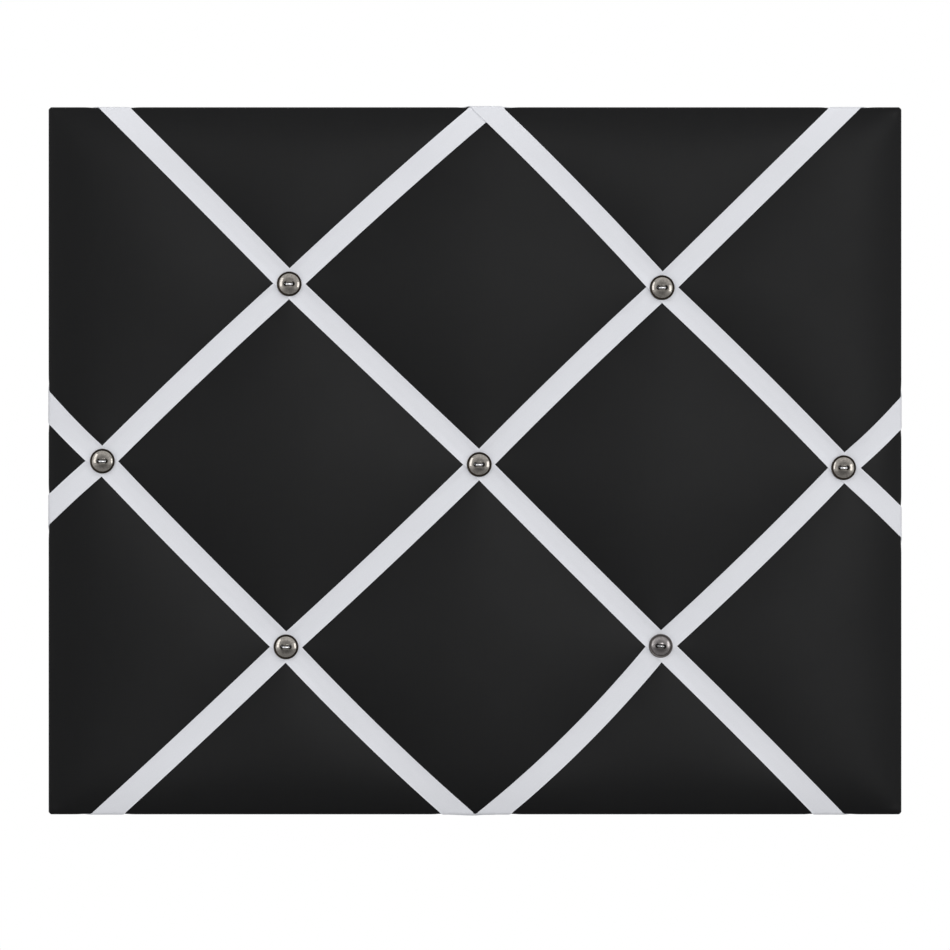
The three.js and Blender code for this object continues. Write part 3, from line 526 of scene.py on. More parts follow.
def black_card(s, settings):
    """Black pressed card with short fibres and a few pale scuffs."""
    place = s.place()
    fibre = s.noise(s.stretched(place, (900.0, 900.0, 240.0)), 1.0, 3.0)
    fleck = s.noise(s.stretched(place, (260.0, 260.0, 1100.0)), 1.0, 2.0).over(0.62, 0.72)
    cloud = s.noise(place, 9.0, 4.0)
    scuff = s.noise(s.stretched(place, (30.0, 30.0, 220.0)), 1.0, 3.0).over(0.66, 0.8)
    level = 0.8 + cloud * 0.3 + (fibre - 0.5) * 0.4 + fleck * 0.6 + scuff * 0.5
    s.surface(
        Base_Color=s.shade(settings.card_colour, level),
        Roughness=0.78 + (fibre - 0.5) * 0.16 - scuff * 0.1,
        Specular_IOR_Level=0.3,
        Normal=s.bump(fibre, 0.00006, 0.5),
    )


def core_fibreboard(s, settings):
    """Brown pressed fibreboard."""
    place = s.place()
    fibre = s.noise(s.stretched(place, (420.0, 420.0, 160.0)), 1.0, 4.0)
    s.surface(
        Base_Color=s.shade(FIBREBOARD, 0.75 + fibre * 0.5),
        Roughness=0.85 - fibre * 0.1,
        Normal=s.bump(fibre, 0.0001, 0.6),
    )


def white_wadding(s, settings):
    """Soft white fibre wadding."""
    place = s.place()
    fluff = s.noise(place, 380.0, 5.0, 0.65)
    s.surface(
        Base_Color=s.shade(FIBRE_WHITE, 0.85 + fluff * 0.2),
        Roughness=0.95 - fluff * 0.05,
        Normal=s.bump(fluff, 0.0006, 0.8),
    )


def floor_paint(s, settings):
    """Plain pale floor that passes into the white surroundings away from the board."""
    place = s.place()
    cloud = s.noise(place, 3.0, 2.0)
    s.surface(Base_Color=s.shade(FLOOR_GREY, 0.98 + cloud * 0.04), Roughness=0.9)
    away = s.node("ShaderNodeVectorMath", {"operation": "LENGTH"}, {0: place}, "Value")
    white = s.node("ShaderNodeEmission", None, {"Color": WHITE})
    paint = Socket(s, s.tree.nodes["Principled BSDF"].outputs[0])
    share = away.over(*FLOOR_FADE) * s.shown()
    mixed = s.node("ShaderNodeMixShader", None, {0: share, 1: paint, 2: white})
    s.join(mixed, s.tree.nodes["Material Output"].inputs["Surface"])


# Modelling


def deselect():
    """Object mode with nothing selected."""
    if bpy.context.object and bpy.context.object.mode != "OBJECT":
        bpy.ops.object.mode_set(mode="OBJECT")
    bpy.ops.object.select_all(action="DESELECT")


def activate(piece):
    deselect()
    piece.select_set(True)
    bpy.context.view_layer.objects.active = piece


def choose(test, kind="verts"):
    """Select the parts of the open mesh whose place passes a test."""
    mesh = bmesh.from_edit_mesh(bpy.context.object.data)
    bpy.ops.mesh.select_all(action="DESELECT")
    for part in getattr(mesh, kind):
        corners = [part.co] if kind == "verts" else [v.co for v in part.verts]
        part.select_set(test(sum(corners, Vector()) / len(corners)))
    mesh.select_flush_mode()
    bmesh.update_edit_mesh(bpy.context.object.data)


def modify(piece, kind, **settings):
    """Add a modifier, set it and apply it."""
    activate(piece)
    modifier = piece.modifiers.new(kind.title(), kind)
    for key, value in settings.items():
        setattr(modifier, key, value)
    bpy.ops.object.modifier_apply(modifier=modifier.name)


def smooth(piece, degrees=40):
    activate(piece)
    bpy.ops.object.shade_smooth_by_angle(angle=math.radians(degrees))


def ease_edges(piece, width, segments, angle):
    """Bevel the edges that turn by more than an angle, in radians."""
    settings = {"width": width, "segments": segments, "angle_limit": angle}
    modify(piece, "BEVEL", limit_method="ANGLE", **settings)


def carve(piece, cutter):
    """Cut one piece with another, which goes away."""
    modify(piece, "BOOLEAN", object=cutter, operation="DIFFERENCE", solver="EXACT")
    bpy.data.objects.remove(cutter)


def drawn_line(name, points):
    """An edge line through points, drawn by extruding one vertex, in edit mode."""
    deselect()
    bpy.ops.mesh.primitive_plane_add(size=0.001, location=(0, 0, 0))
    piece = bpy.context.object
    piece.name = name
    bpy.ops.object.mode_set(mode="EDIT")
    bpy.ops.mesh.select_all(action="SELECT")
    bpy.ops.mesh.merge(type="CENTER")
    points = [Vector(p) for p in points]
    bpy.ops.transform.translate(value=points[0])
    for before, after in zip(points, points[1:]):
        bpy.ops.mesh.extrude_vertices_move(TRANSFORM_OT_translate={"value": after - before})
    return piece


def close_up():
    """Weld the open mesh, turn its faces outward and leave edit mode."""
    bpy.ops.mesh.select_all(action="SELECT")
    bpy.ops.mesh.remove_doubles(threshold=WELD)
    bpy.ops.mesh.normals_make_consistent(inside=False)
    bpy.ops.object.mode_set(mode="OBJECT")


def turned_piece(name, profile, steps):
    """A piece turned on the Z axis from (radius, height) points."""
    piece = drawn_line(name, [(r, 0, h) for r, h in profile])
    bpy.ops.mesh.select_all(action="SELECT")
    bpy.ops.mesh.spin(steps=steps, angle=2 * math.pi, center=(0, 0, 0), axis=(0, 0, 1))
    close_up()
    return piece


def bent_wire(name, points, radius, closed=False):
    """Round wire along points, made a mesh."""
    deselect()
    curve = bpy.data.curves.new(name, "CURVE")
    curve.dimensions = "3D"
    curve.bevel_depth = radius
    curve.bevel_resolution = 5
    curve.use_fill_caps = True
    spline = curve.splines.new("POLY")
    spline.points.add(len(points) - 1)
    for point, place in zip(spline.points, points):
        point.co = (*place, 1.0)
    spline.use_cyclic_u = closed
    piece = bpy.data.objects.new(name, curve)
    bpy.context.collection.objects.link(piece)
    activate(piece)
    bpy.ops.object.convert(target="MESH")
    piece = bpy.context.object
    bpy.ops.object.mode_set(mode="EDIT")
    close_up()
    smooth(piece, 50)
    return piece


def rounded(points, radius, steps=6, closed=False):
    """A line of points with its corners rounded off."""
    points = [np.array(p, float) for p in points]
    line = []
    last = len(points) - 1
    for i, corner in enumerate(points):
        if not closed and i in (0, last):
            line.append(corner)
            continue
        before, after = points[i - 1], points[(i + 1) % len(points)]
        into = (before - corner) / np.linalg.norm(before - corner)
        out = (after - corner) / np.linalg.norm(after - corner)
        bend = math.acos(max(-1.0, min(1.0, float(into @ out))))
        reach = radius / math.tan(bend / 2)
        middle_way = into + out
        centre = corner + middle_way / np.linalg.norm(middle_way) * radius / math.sin(bend / 2)
        a, b = corner + into * reach - centre, corner + out * reach - centre
        sweep = math.pi - bend
        for k in range(steps + 1):
            t = k / steps
            side = (a * math.sin((1 - t) * sweep) + b * math.sin(t * sweep)) / math.sin(sweep)
            line.append(centre + side)
    return line


def mesh_piece(name, points, faces, cut):
    """A piece from points, faces and each point's place on the flat cut, in metres."""
    mesh = bpy.data.meshes.new(name)
    mesh.from_pydata([tuple(p) for p in points], [], faces)
    mesh.validate()
    layer = mesh.uv_layers.new(name="cut")
    index = np.empty(len(mesh.loops), np.int32)
    mesh.loops.foreach_get("vertex_index", index)
    layer.data.foreach_set("uv", np.asarray(cut, float)[index].ravel())
    mesh.polygons.foreach_set("use_smooth", np.ones(len(mesh.polygons), bool))
    piece = bpy.data.objects.new(name, mesh)
    bpy.context.collection.objects.link(piece)
    return piece


def map_flat(piece):
    """Map a turned piece by its own X and Y, in metres."""
    mesh = piece.data
    layer = mesh.uv_layers.get("cut") or mesh.uv_layers.new(name="cut")
    for loop, uv in zip(mesh.loops, layer.data):
        uv.uv = mesh.vertices[loop.vertex_index].co.xy


def dress(piece, finish, slot, body, *nodes):
    """Give a piece its finish, its body and the nodes that it stands for."""
    piece.data.materials.clear()
    piece.data.materials.append(finished(finish))
    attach(piece, body)
    if nodes:
        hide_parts(*nodes)
    return piece


def copied(piece, name, matrix):
    """A copy with its own mesh, moved in its mesh."""
    twin = bpy.data.objects.new(name, piece.data.copy())
    twin.data.name = name
    twin.data.transform(matrix)
    bpy.context.collection.objects.link(twin)
    return twin


# Ribbon lines on the unrolled cover


def end_point(end):
    outward, border = EDGE_LINES[end[0]]
    sideways = np.abs(outward[::-1])
    return outward * border + sideways * end[1]


def left_of(way):
    return np.array([-way[1], way[0]])


def ribbon_line(name, step=0.002, tail_step=0.0012):
    """Points down the middle of a ribbon, and the way it runs at each, on the unrolled cover."""
    route = ROUTES[name]
    stops = [end_point(route["start"])]
    stops += [CROSSINGS[k] for k in route["through"]]
    stops.append(end_point(route["end"]))
    points = []
    for i, (a, b) in enumerate(zip(stops, stops[1:])):
        chord = b - a
        length = np.linalg.norm(chord)
        bow = left_of(chord / length) * route["bows"][i]
        count = max(2, round(length / step))
        for k in range(count):
            t = k / count
            points.append(a + chord * t + bow * 4 * t * (1 - t))
    points.append(stops[-1])
    points = np.array(points)
    for edge, place in ((route["start"][0], 0), (route["end"][0], -1)):
        outward = EDGE_LINES[edge][0]
        way = points[0] - points[2] if place == 0 else points[-1] - points[-3]
        way = way / np.linalg.norm(way)
        reach = (WRAP + RIBBON_TURN) / (way @ outward)
        count = round(reach / tail_step)
        tail = [points[place] + way * reach * (k + 1) / count for k in range(count)]
        points = np.vstack([tail[::-1], points] if place == 0 else [points, tail])
    ways = np.gradient(points, axis=0)
    ways /= np.linalg.norm(ways, axis=1, keepdims=True)
    for _ in range(3):
        ways[1:-1] = (ways[:-2] + ways[1:-1] + ways[2:]) / 3
    return points, ways / np.linalg.norm(ways, axis=1, keepdims=True)


RIBBON_LINES = {name: ribbon_line(name) for name in ROUTES}


def distance_to(line, places, stride=4):
    """Distance of each place from a line of points."""
    nearest = np.full(len(places), np.inf)
    for a, b in zip(line[:-1:stride], [*line[stride::stride], line[-1]]):
        along = b - a
        share = np.clip((places - a) @ along / max(along @ along, 1e-12), 0, 1)
        gap = np.linalg.norm(places - a - share[:, None] * along, axis=1)
        nearest = np.minimum(nearest, gap)
    return nearest


def eased(share):
    share = np.clip(share, 0, 1)
    return share * share * (3 - 2 * share)


def pressed(travel):
    """How far a ribbon presses the cover in on its way round the edge."""
    fade = eased((travel - ROLL - SIDE / 2) / (SIDE / 2))
    return EDGE_PRESS * eased(travel / PRESS_START) * (1 - fade)


def under_ribbon(places, width):
    """1 where a place on the unrolled cover lies under a ribbon, 0 well away from it."""
    gap = np.min([distance_to(p, places) for p, _ in RIBBON_LINES.values()], axis=0)
    return eased(1 - (gap - width / 2) / PRESS_EASE)


def stages(start, stretch, count):
    """Even stages of a travel along a stretch, the last at its end."""
    return [start + stretch * k / count for k in range(1, count + 1)]


def grid_faces(shape):
    """Four-sided faces between the points of a grid."""
    index = np.arange(shape[0] * shape[1]).reshape(shape)
    corners = [index[:-1, :-1], index[:-1, 1:], index[1:, 1:], index[1:, :-1]]
    return np.stack(corners, axis=-1).reshape(-1, 4).tolist()


# Cover cloth and wadding


class CoverFront:
    """Depths of the cover's front on its grid, kept for the ribbons that lie on it."""

    SWELL_FRAMES = 30
    RELAX_STEPS = 1600
    RELAX_PUSH = 0.00001

    def __init__(self, across, up):
        self.across, self.up = across, up
        x, z = np.meshgrid(across, up)
        self.places = np.column_stack([x.ravel(), z.ravel()])
        self.shape = x.shape

    def hold(self, settings):
        """Find where ribbons, buttons and the border hold the cloth, and at what depth."""
        ribbon = np.min([distance_to(p, self.places) for p, _ in RIBBON_LINES.values()], axis=0)
        button = np.min(
            [np.linalg.norm(self.places - c, axis=1) for c in CROSSINGS.values()], axis=0
        )
        drawn = TUFT * np.clip(1 - (button - TUFT_FLAT) / TUFT_REACH, 0, 1) ** TUFT_FALL
        inside = np.array([BORDER_X, BORDER_Z]) - np.abs(self.places)
        ease = np.maximum(CORNER_EASE - np.abs(inside[:, 0] - inside[:, 1]), 0)
        inside = inside.min(axis=1) - ease**2 / (4 * CORNER_EASE)
        self.flat = CHANNEL + EDGE_DROP * np.maximum(1 - inside / EDGE_REACH, 0) ** EDGE_FALL
        self.base = self.flat + drawn
        border = np.zeros(self.shape, bool)
        border[[0, -1], :] = True
        border[:, [0, -1]] = True
        under = (ribbon < settings.ribbon_width * RIBBON_HOLD) | (button < BUTTON_HOLD)
        self.held = border.ravel() | under
        self.base[border.ravel()] = EDGE
        self.depth = np.where(self.held, self.base, self.flat)

    def thinned(self, step, inset):
        """A coarser front that lies behind this one."""
        lines = [np.append(line[:-1:step], line[-1]) for line in (self.across, self.up)]
        coarse = CoverFront(*lines)
        coarse.depth = self.at(coarse.places) + inset
        return coarse

    def points(self):
        return np.column_stack([self.places[:, 0], self.depth, self.places[:, 1]])

    def at(self, places):
        """Depth of the cover at places inside the border, between grid points."""
        x = np.clip(np.interp(places[:, 0], self.across, np.arange(len(self.across))), 0, None)
        z = np.clip(np.interp(places[:, 1], self.up, np.arange(len(self.up))), 0, None)
        i = np.minimum(x.astype(int), len(self.across) - 2)
        k = np.minimum(z.astype(int), len(self.up) - 2)
        u, v = x - i, z - k
        d = self.depth.reshape(self.shape)
        low = d[k, i] * (1 - u) + d[k, i + 1] * u
        high = d[k + 1, i] * (1 - u) + d[k + 1, i + 1] * u
        return low * (1 - v) + high * v

    def swell(self, settings):
        """Blow the cloth up between the ribbons that hold it, by simulation."""
        faces = grid_faces(self.shape)
        piece = mesh_piece("cover_swelling", self.points(), faces, self.places)
        group = piece.vertex_groups.new(name="held")
        group.add([int(i) for i in np.flatnonzero(self.held)], 1.0, "REPLACE")
        activate(piece)
        cloth = piece.modifiers.new("Cloth", "CLOTH")
        cloth.settings.quality = 6
        cloth.settings.mass = 0.02
        cloth.settings.air_damping = 4.0
        cloth.settings.tension_stiffness = 20
        cloth.settings.compression_stiffness = 20
        cloth.settings.shear_stiffness = 10
        cloth.settings.bending_stiffness = 0.4
        cloth.settings.vertex_group_mass = "held"
        cloth.settings.use_pressure = True
        cloth.settings.uniform_pressure_force = 600
        cloth.settings.effector_weights.gravity = 0
        cloth.collision_settings.use_collision = False
        cloth.collision_settings.use_self_collision = False
        cloth.point_cache.frame_start = 1
        cloth.point_cache.frame_end = self.SWELL_FRAMES
        scene = bpy.context.scene
        for number in range(1, self.SWELL_FRAMES + 1):
            scene.frame_set(number)
        activate(piece)
        bpy.ops.object.modifier_apply(modifier=cloth.name)
        depth = np.array([v.co.y for v in piece.data.vertices])
        scene.frame_set(1)
        bpy.data.objects.remove(piece)
        self.settle(depth, settings)

    def settle(self, depth, settings):
        """Scale the swelling so that its fullest diamond reaches the crown."""
        rise = np.where(self.held, 0, self.flat - depth)
        self.depth = np.where(self.held, self.base, self.flat - rise * settings.crown / rise.max())


front = {}


def round_edge(travel, offset):
    """Distance out from the border line, and depth, along the cover past that line."""
    roll = LEAN + np.clip(travel / EDGE_ROUND, 0, math.pi / 2 - LEAN)
    turn = np.clip((travel - ROLL - SIDE) / BACK_ROUND, 0, math.pi / 2)
    down = np.clip(travel - ROLL, 0, SIDE)
    inward = np.maximum(travel - WRAP, 0)
    on_roll = travel <= ROLL
    out = np.where(
        on_roll,
        (EDGE_ROUND + offset) * np.sin(roll),
        EDGE_ROUND - BACK_ROUND + (BACK_ROUND + offset) * np.cos(turn) - inward,
    )
    depth = SHOULDER + np.where(
        on_roll,
        -(EDGE_ROUND + offset) * np.cos(roll),
        down + (BACK_ROUND + offset) * np.sin(turn),
    )
    return out - EDGE_ROUND * math.sin(LEAN), depth


def border_loop(shape):
    """Grid points of the border in order, each with the ways that lead out from it."""
    rows, columns = shape
    bottom = [(0, i, (0, -1)) for i in range(1, columns - 1)]
    right = [(k, columns - 1, (1, 0)) for k in range(1, rows - 1)]
    top = [(rows - 1, i, (0, 1)) for i in range(columns - 2, 0, -1)]
    left = [(k, 0, (-1, 0)) for k in range(rows - 2, 0, -1)]

    def corner(k, i, first, second):
        ways = []
        for step in range(CORNER_STEPS + 1):
            angle = step / CORNER_STEPS * math.pi / 2
            c, s = math.cos(angle) ** CORNER_POWER, math.sin(angle) ** CORNER_POWER
            ways.append((k, i, tuple(np.array(first) * c + np.array(second) * s)))
        return ways

    return [
        *bottom,
        *corner(0, columns - 1, (0, -1), (1, 0)),
        *right,
        *corner(rows - 1, columns - 1, (1, 0), (0, 1)),
        *top,
        *corner(rows - 1, 0, (0, 1), (-1, 0)),
        *left,
        *corner(0, 0, (-1, 0), (0, -1)),
    ]


def skirted(cover, travels, offset, ribbon_width=None):
    """Loops of points that carry the border round the edge, with their places on the cut."""
    columns = cover.shape[1]
    loop = border_loop(cover.shape)
    index = np.array([k * columns + i for k, i, _ in loop])
    ways = np.array([way for _, _, way in loop])
    base = cover.places[index]
    points, cut = [], []
    for travel in travels:
        spread = base + ways * travel
        inset = np.zeros(len(base))
        if ribbon_width:
            inset = pressed(travel) * under_ribbon(spread, ribbon_width)
        out, depth = round_edge(np.full(len(base), travel), offset - inset)
        if travel <= WRAP:
            spot = base + ways * out[:, None]
        else:
            spot = base * (1 + out[:, None] / np.array([BORDER_X, BORDER_Z]))
        points.append(np.column_stack([spot[:, 0], depth, spot[:, 1]]))
        cut.append(spread)
    return index, points, cut


def band_faces(index, start, loops):
    """Faces from the border through each loop in turn."""
    count = len(index)
    faces = []
    inner = index
    for k in range(loops):
        outer = start + k * count + np.arange(count)
        for i in range(count):
            j = (i + 1) % count
            face = [inner[i], outer[i], outer[j], inner[j]]
            if inner[i] == inner[j]:
                face.pop()
            faces.append([int(v) for v in face])
        inner = outer
    return faces


def corner_folds():
    """Folded corners of the cloth on the back, each a three-sided flap."""
    points, cut, faces = [], [], []
    level = REAR + CLOTH + SEAT
    for sx in (-1, 1):
        for sz in (-1, 1):
            x, z = sx * (HALF_X - FOLD_INSET), sz * (HALF_Z - FOLD_INSET)
            inner = (x - sx * FOLD_MITRE, z - sz * FOLD_MITRE)
            flap = [(x, z), (x, z - sz * FOLD_LENGTH), inner]
            start = len(points)
            points += [(px, level, pz) for px, pz in flap]
            cut += [((px + pz) * BIAS, (px - pz) * BIAS) for px, pz in flap]
            face = [start, start + 1, start + 2]
            faces.append(face if sx * sz > 0 else face[::-1])
    return points, faces, cut


class MEMO_OT_cover(bpy.types.Operator):
    """Swell the cover cloth over its wadding and turn it round the edges onto the back"""

    bl_idname = "memo.cover"
    bl_label = "Cover and wadding"

    WADDING_STEP = 3

    def execute(self, context):
        settings = context.scene.memo_board
        lines = [
            np.linspace(-border, border, round(2 * border / settings.cell) + 1)
            for border in (BORDER_X, BORDER_Z)
        ]
        cover = CoverFront(*lines)
        cover.hold(settings)
        cover.swell(settings)
        front["cover"] = cover
        self.cloth(cover, settings)
        self.wadding(cover)
        return {"FINISHED"}

    def cloth(self, cover, settings):
        travels = [*stages(0, ROLL, 5), *stages(ROLL, SIDE, 3), *stages(ROLL + SIDE, TURN, 2)]
        travels += [WRAP + inward for inward in HEM_STAGES]
        index, loops, cuts = skirted(cover, travels, 0.0, settings.ribbon_width)
        points = [cover.points(), *loops]
        cut = [cover.places, *cuts]
        faces = grid_faces(cover.shape) + band_faces(index, len(cover.places), len(loops))
        start = sum(len(p) for p in points)
        fold_points, fold_faces, fold_cut = corner_folds()
        faces += [[start + v for v in face] for face in fold_faces]
        points = np.vstack([*points, fold_points])
        piece = mesh_piece("cover", points, faces, np.vstack([*cut, fold_cut]))
        modify(piece, "WELD", merge_threshold=WELD)
        modify(piece, "SOLIDIFY", thickness=CLOTH, offset=-1)
        dress(piece, cover_cotton, "cover_fabric", "board", "cover_cloth")
        round_about = 2 * (WRAP + HEM)
        flat = (2 * BORDER_X + round_about, 2 * BORDER_Z + round_about)

    def wadding(self, cover):
        inset = CLOTH + EDGE_PRESS + SEAT
        coarse = cover.thinned(self.WADDING_STEP, inset)
        index, loops, _ = skirted(coarse, stages(0, ROLL, 4), -inset)
        rear = loops[-1].copy()
        rear[:, 1] = PAD_REAR
        loops.append(rear)
        faces = grid_faces(coarse.shape) + band_faces(index, len(coarse.places), len(loops))
        last = len(coarse.places) + (len(loops) - 1) * len(index)
        faces.append(list(range(last + len(index) - 1, last - 1, -1)))
        points = np.vstack([coarse.points(), *loops])
        piece = mesh_piece("wadding", points, faces, points[:, [0, 2]])
        modify(piece, "WELD", merge_threshold=WELD)
        smooth(piece, 50)
        dress(piece, white_wadding, "wadding", "board", "wadding_pad")


# Ribbons


class MEMO_OT_ribbons(bpy.types.Operator):
    """Lay six satin ribbons over the cover and turn their ends onto the back"""

    bl_idname = "memo.ribbons"
    bl_label = "Ribbons"

    STRANDS = 11
    MIDDLE = STRANDS // 2

    def execute(self, context):
        if "cover" not in front:
            raise RuntimeError("the ribbons need the cover that they lie on")
        for name in ROUTES:
            self.ribbon(name, context.scene.memo_board)
        return {"FINISHED"}

    def ribbon(self, name, settings):
        line, ways = RIBBON_LINES[name]
        half = settings.ribbon_width / 2
        across = np.linspace(-half, half, self.STRANDS)
        sides = np.column_stack([ways[:, 1], -ways[:, 0]])
        strands = [self.strand(line + sides * a) for a in across]
        run = np.append(0, np.cumsum(np.linalg.norm(np.diff(line, axis=0), axis=1)))
        rows = round(strands[self.MIDDLE][1] - strands[self.MIDDLE][0])
        places, runs = [], []
        for first, last, path in strands:
            at = np.linspace(first, last, rows)
            steps = np.arange(len(path))
            places.append(np.column_stack([np.interp(at, steps, path[:, i]) for i in (0, 1)]))
            runs.append(np.interp(at, steps, run))
        places, runs = np.stack(places, axis=1), np.stack(runs, axis=1)
        flat = places.reshape(-1, 2)
        depth = front["cover"].at(flat) - SEAT - RIBBON - self.lift(name, flat, half)
        points = [np.column_stack([flat[:, 0], depth, flat[:, 1]]).reshape(rows, -1, 3)]
        cut = [np.stack([np.broadcast_to(across, runs.shape), runs], axis=-1)]
        for place, sign in ((0, -1), (-1, 1)):
            end = "start" if place == 0 else "end"
            tail, travel = self.tail(name, end, places[place], ways[place] * sign, half)
            tail_cut = np.stack(
                [np.broadcast_to(across, travel.shape), runs[place] + sign * travel], axis=-1
            )
            points = [tail[::-1], *points] if place == 0 else [*points, tail]
            cut = [tail_cut[::-1], *cut] if place == 0 else [*cut, tail_cut]
        points, cut = np.concatenate(points), np.concatenate(cut)
        faces = grid_faces(points.shape[:2])
        piece = mesh_piece(f"satin_{name}", points.reshape(-1, 3), faces, cut.reshape(-1, 2))
        modify(piece, "SOLIDIFY", thickness=RIBBON, offset=-1)
        smooth(piece, 60)
        dress(piece, white_satin, "ribbon_satin", "board", f"ribbon_{name}")

    def strand(self, path):
        """Where a line along the ribbon comes onto the front and leaves it, and the line."""
        past = np.max(np.abs(path) - [BORDER_X, BORDER_Z], axis=1)
        inside = np.flatnonzero(past <= 0)
        ends = []
        for near, beyond in ((inside[0], inside[0] - 1), (inside[-1], inside[-1] + 1)):
            share = past[near] / (past[near] - past[beyond])
            ends.append(near + (beyond - near) * share)
        return (*ends, path)

    def lift(self, name, places, half):
        """How far a falling ribbon is lifted by the rising ones that it lies over."""
        lift = np.zeros(len(places))
        if name.startswith("falling"):
            for other, (line, _) in RIBBON_LINES.items():
                if other.startswith("rising"):
                    gap = distance_to(line, places) - half
                    lift = np.maximum(lift, LIFT * eased(1 - gap / LIFT_EASE))
        return lift

    def tail(self, name, end, base, way, half):
        """A ribbon's end from the border round the edge onto the back, where it turns straight
        in to its staple, a little narrower. Also how much ribbon is used up to each point."""
        outward, border = EDGE_LINES[ROUTES[name][end][0]]
        sideways = np.abs(outward[::-1])
        staple = middle(f"ribbon_staple_{name}_{end}").xz @ Vector(sideways)
        reach = way @ outward
        travels = [*stages(0, ROLL, 7), *stages(ROLL, SIDE, 5)]
        travels += [*stages(ROLL + SIDE, TURN, 4), *stages(WRAP, RIBBON_TURN, 16)]
        rows, used = [], []
        for travel in travels:
            inward = max(travel - WRAP, 0)
            along = base @ sideways + (way @ sideways) / reach * (travel - inward)
            drawn = 1 - (1 - min(inward / TAIL_DRAW, 1)) ** 2
            centre = along.mean()
            spread = (along - centre) * (1 - TAIL_NARROWING * drawn)
            along = centre + (staple - centre) * drawn + spread
            places = outward * (border + travel) + sideways * along[:, None]
            offset = SEAT + RIBBON + self.lift(name, places, half) - pressed(travel)
            if outward[1] and inward:
                past_mitre = (np.abs(along) - HALF_X + inward + BACK_ROUND) / math.sqrt(2)
                offset = offset + LIFT * eased(1 + past_mitre / FOLD_EASE)
            out, depth = round_edge(np.full(len(along), travel), offset)
            spot = outward * (border + out[:, None]) + sideways * along[:, None]
            rows.append(np.column_stack([spot[:, 0], depth, spot[:, 1]]))
            used.append(np.full(len(along), (travel - inward) / reach + inward))
        return np.array(rows), np.array(used)


# Buttons and their wires


class MEMO_OT_buttons(bpy.types.Operator):
    """Turn one domed two-hole button and its wire tie, and set a copy at each crossing"""

    bl_idname = "memo.buttons"
    bl_label = "Buttons and wires"

    # Radius and height of points from the middle of the underside round the bead
    PROFILE = (
        (0, 0),
        (0.0054, 0),
        (0.0062, 0.0001),
        (0.0067, 0.00035),
        (BUTTON, 0.00075),
        (0.00695, 0.00098),
        (0.00675, 0.00112),
        (BEAD, 0.00113),
        (0.00625, 0.00104),
        (GROOVE, 0.00098),
    )
    FACE_BASE = 0.0012
    HEIGHT = 0.0032
    DOME_STEPS = 15
    EASE = 0.00013
    HOLE = 0.0008
    THROUGH = 0.02
    SLOT_DEPTH = 0.0010
    WIRE = 0.0006
    WIRE_BEND = 0.0016
    WIRE_SAG = 0.0002
    OLDER = "lower_right"
    OLDER_TURN = 6
    OLDER_TILT = 3
    OLDER_SIZE = 0.96

    def execute(self, context):
        low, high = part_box("button_wire_centre")
        leg = (high.x - low.x) / 2 - self.WIRE
        button, tie = self.button(leg), self.tie(leg, low, high)
        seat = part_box("button_centre")[1].y
        for node in BUTTON_NODES:
            key = node.removeprefix("button_")
            place = middle(node)
            there = Matrix.Translation((place.x, 0, place.z))
            stand = Matrix.Translation((0, seat, 0))
            turn, metal, steel = there, button_nickel, drawn_wire
            if key == self.OLDER:
                turn = there @ Matrix.Rotation(math.radians(self.OLDER_TURN), 4, "Y")
                stand = stand @ Matrix.Rotation(math.radians(self.OLDER_TILT), 4, "X")
                stand = stand @ Matrix.Diagonal((self.OLDER_SIZE, 1, self.OLDER_SIZE, 1))
                metal, steel = button_tarnished, wire_tarnished
            piece = copied(button, f"nickel_button_{key}", turn @ stand)
            dress(piece, metal, "button_metal", "board", node)
            piece = copied(tie, f"tie_{key}", turn)
            dress(piece, steel, "wire_steel", "board", f"button_wire_{key}")
        bpy.data.objects.remove(button)
        bpy.data.objects.remove(tie)
        return {"FINISHED"}

    def button(self, leg):
        dome = self.HEIGHT - self.FACE_BASE
        ball = (FACE**2 + dome**2) / (2 * dome)
        edge = math.asin(FACE / ball)
        profile = list(self.PROFILE)
        for k in range(self.DOME_STEPS):
            angle = edge * (1 - k / self.DOME_STEPS)
            profile.append((ball * math.sin(angle), self.HEIGHT - ball * (1 - math.cos(angle))))
        profile.append((0, self.HEIGHT))
        piece = turned_piece("button_form", profile, 72)
        carve(piece, self.slot())
        for side in (-1, 1):
            bpy.ops.mesh.primitive_cylinder_add(
                vertices=28, radius=self.HOLE, depth=self.THROUGH, location=(side * leg, 0, 0)
            )
            carve(piece, bpy.context.object)
        ease_edges(piece, self.EASE, 2, 0.7)
        smooth(piece, 45)
        map_flat(piece)
        piece.data.transform(Matrix.Rotation(math.pi / 2, 4, "X"))
        return piece

    def slot(self):
        """Cutter for the long recess that the holes lie in, its two halves drawn apart."""
        deselect()
        bpy.ops.mesh.primitive_cylinder_add(
            vertices=40, radius=SLOT, depth=2 * self.SLOT_DEPTH, location=(0, 0, self.HEIGHT)
        )
        cutter = bpy.context.object
        bpy.ops.object.transform_apply(location=True)
        bpy.ops.object.mode_set(mode="EDIT")
        for side in (-1, 1):
            choose(lambda p: p.x * side > NEAR)
            bpy.ops.transform.translate(value=(side * SLOT_REACH, 0, 0))
        bpy.ops.object.mode_set(mode="OBJECT")
        return cutter

    def tie(self, leg, low, high):
        """The wire: a crown in the slot, two legs through the board, two bent tails."""
        crown, tail = low.y + self.WIRE, high.y - self.WIRE
        reach = (high.z - low.z) / 2
        points = [
            (leg, tail, -reach),
            (leg, tail, 0),
            (leg, crown, -self.WIRE_SAG),
            (-leg, crown, -self.WIRE_SAG),
            (-leg, tail, 0),
            (-leg, tail, reach),
        ]
        return bent_wire("tie_form", rounded(points, self.WIRE_BEND, 10), self.WIRE)


# Back of the board


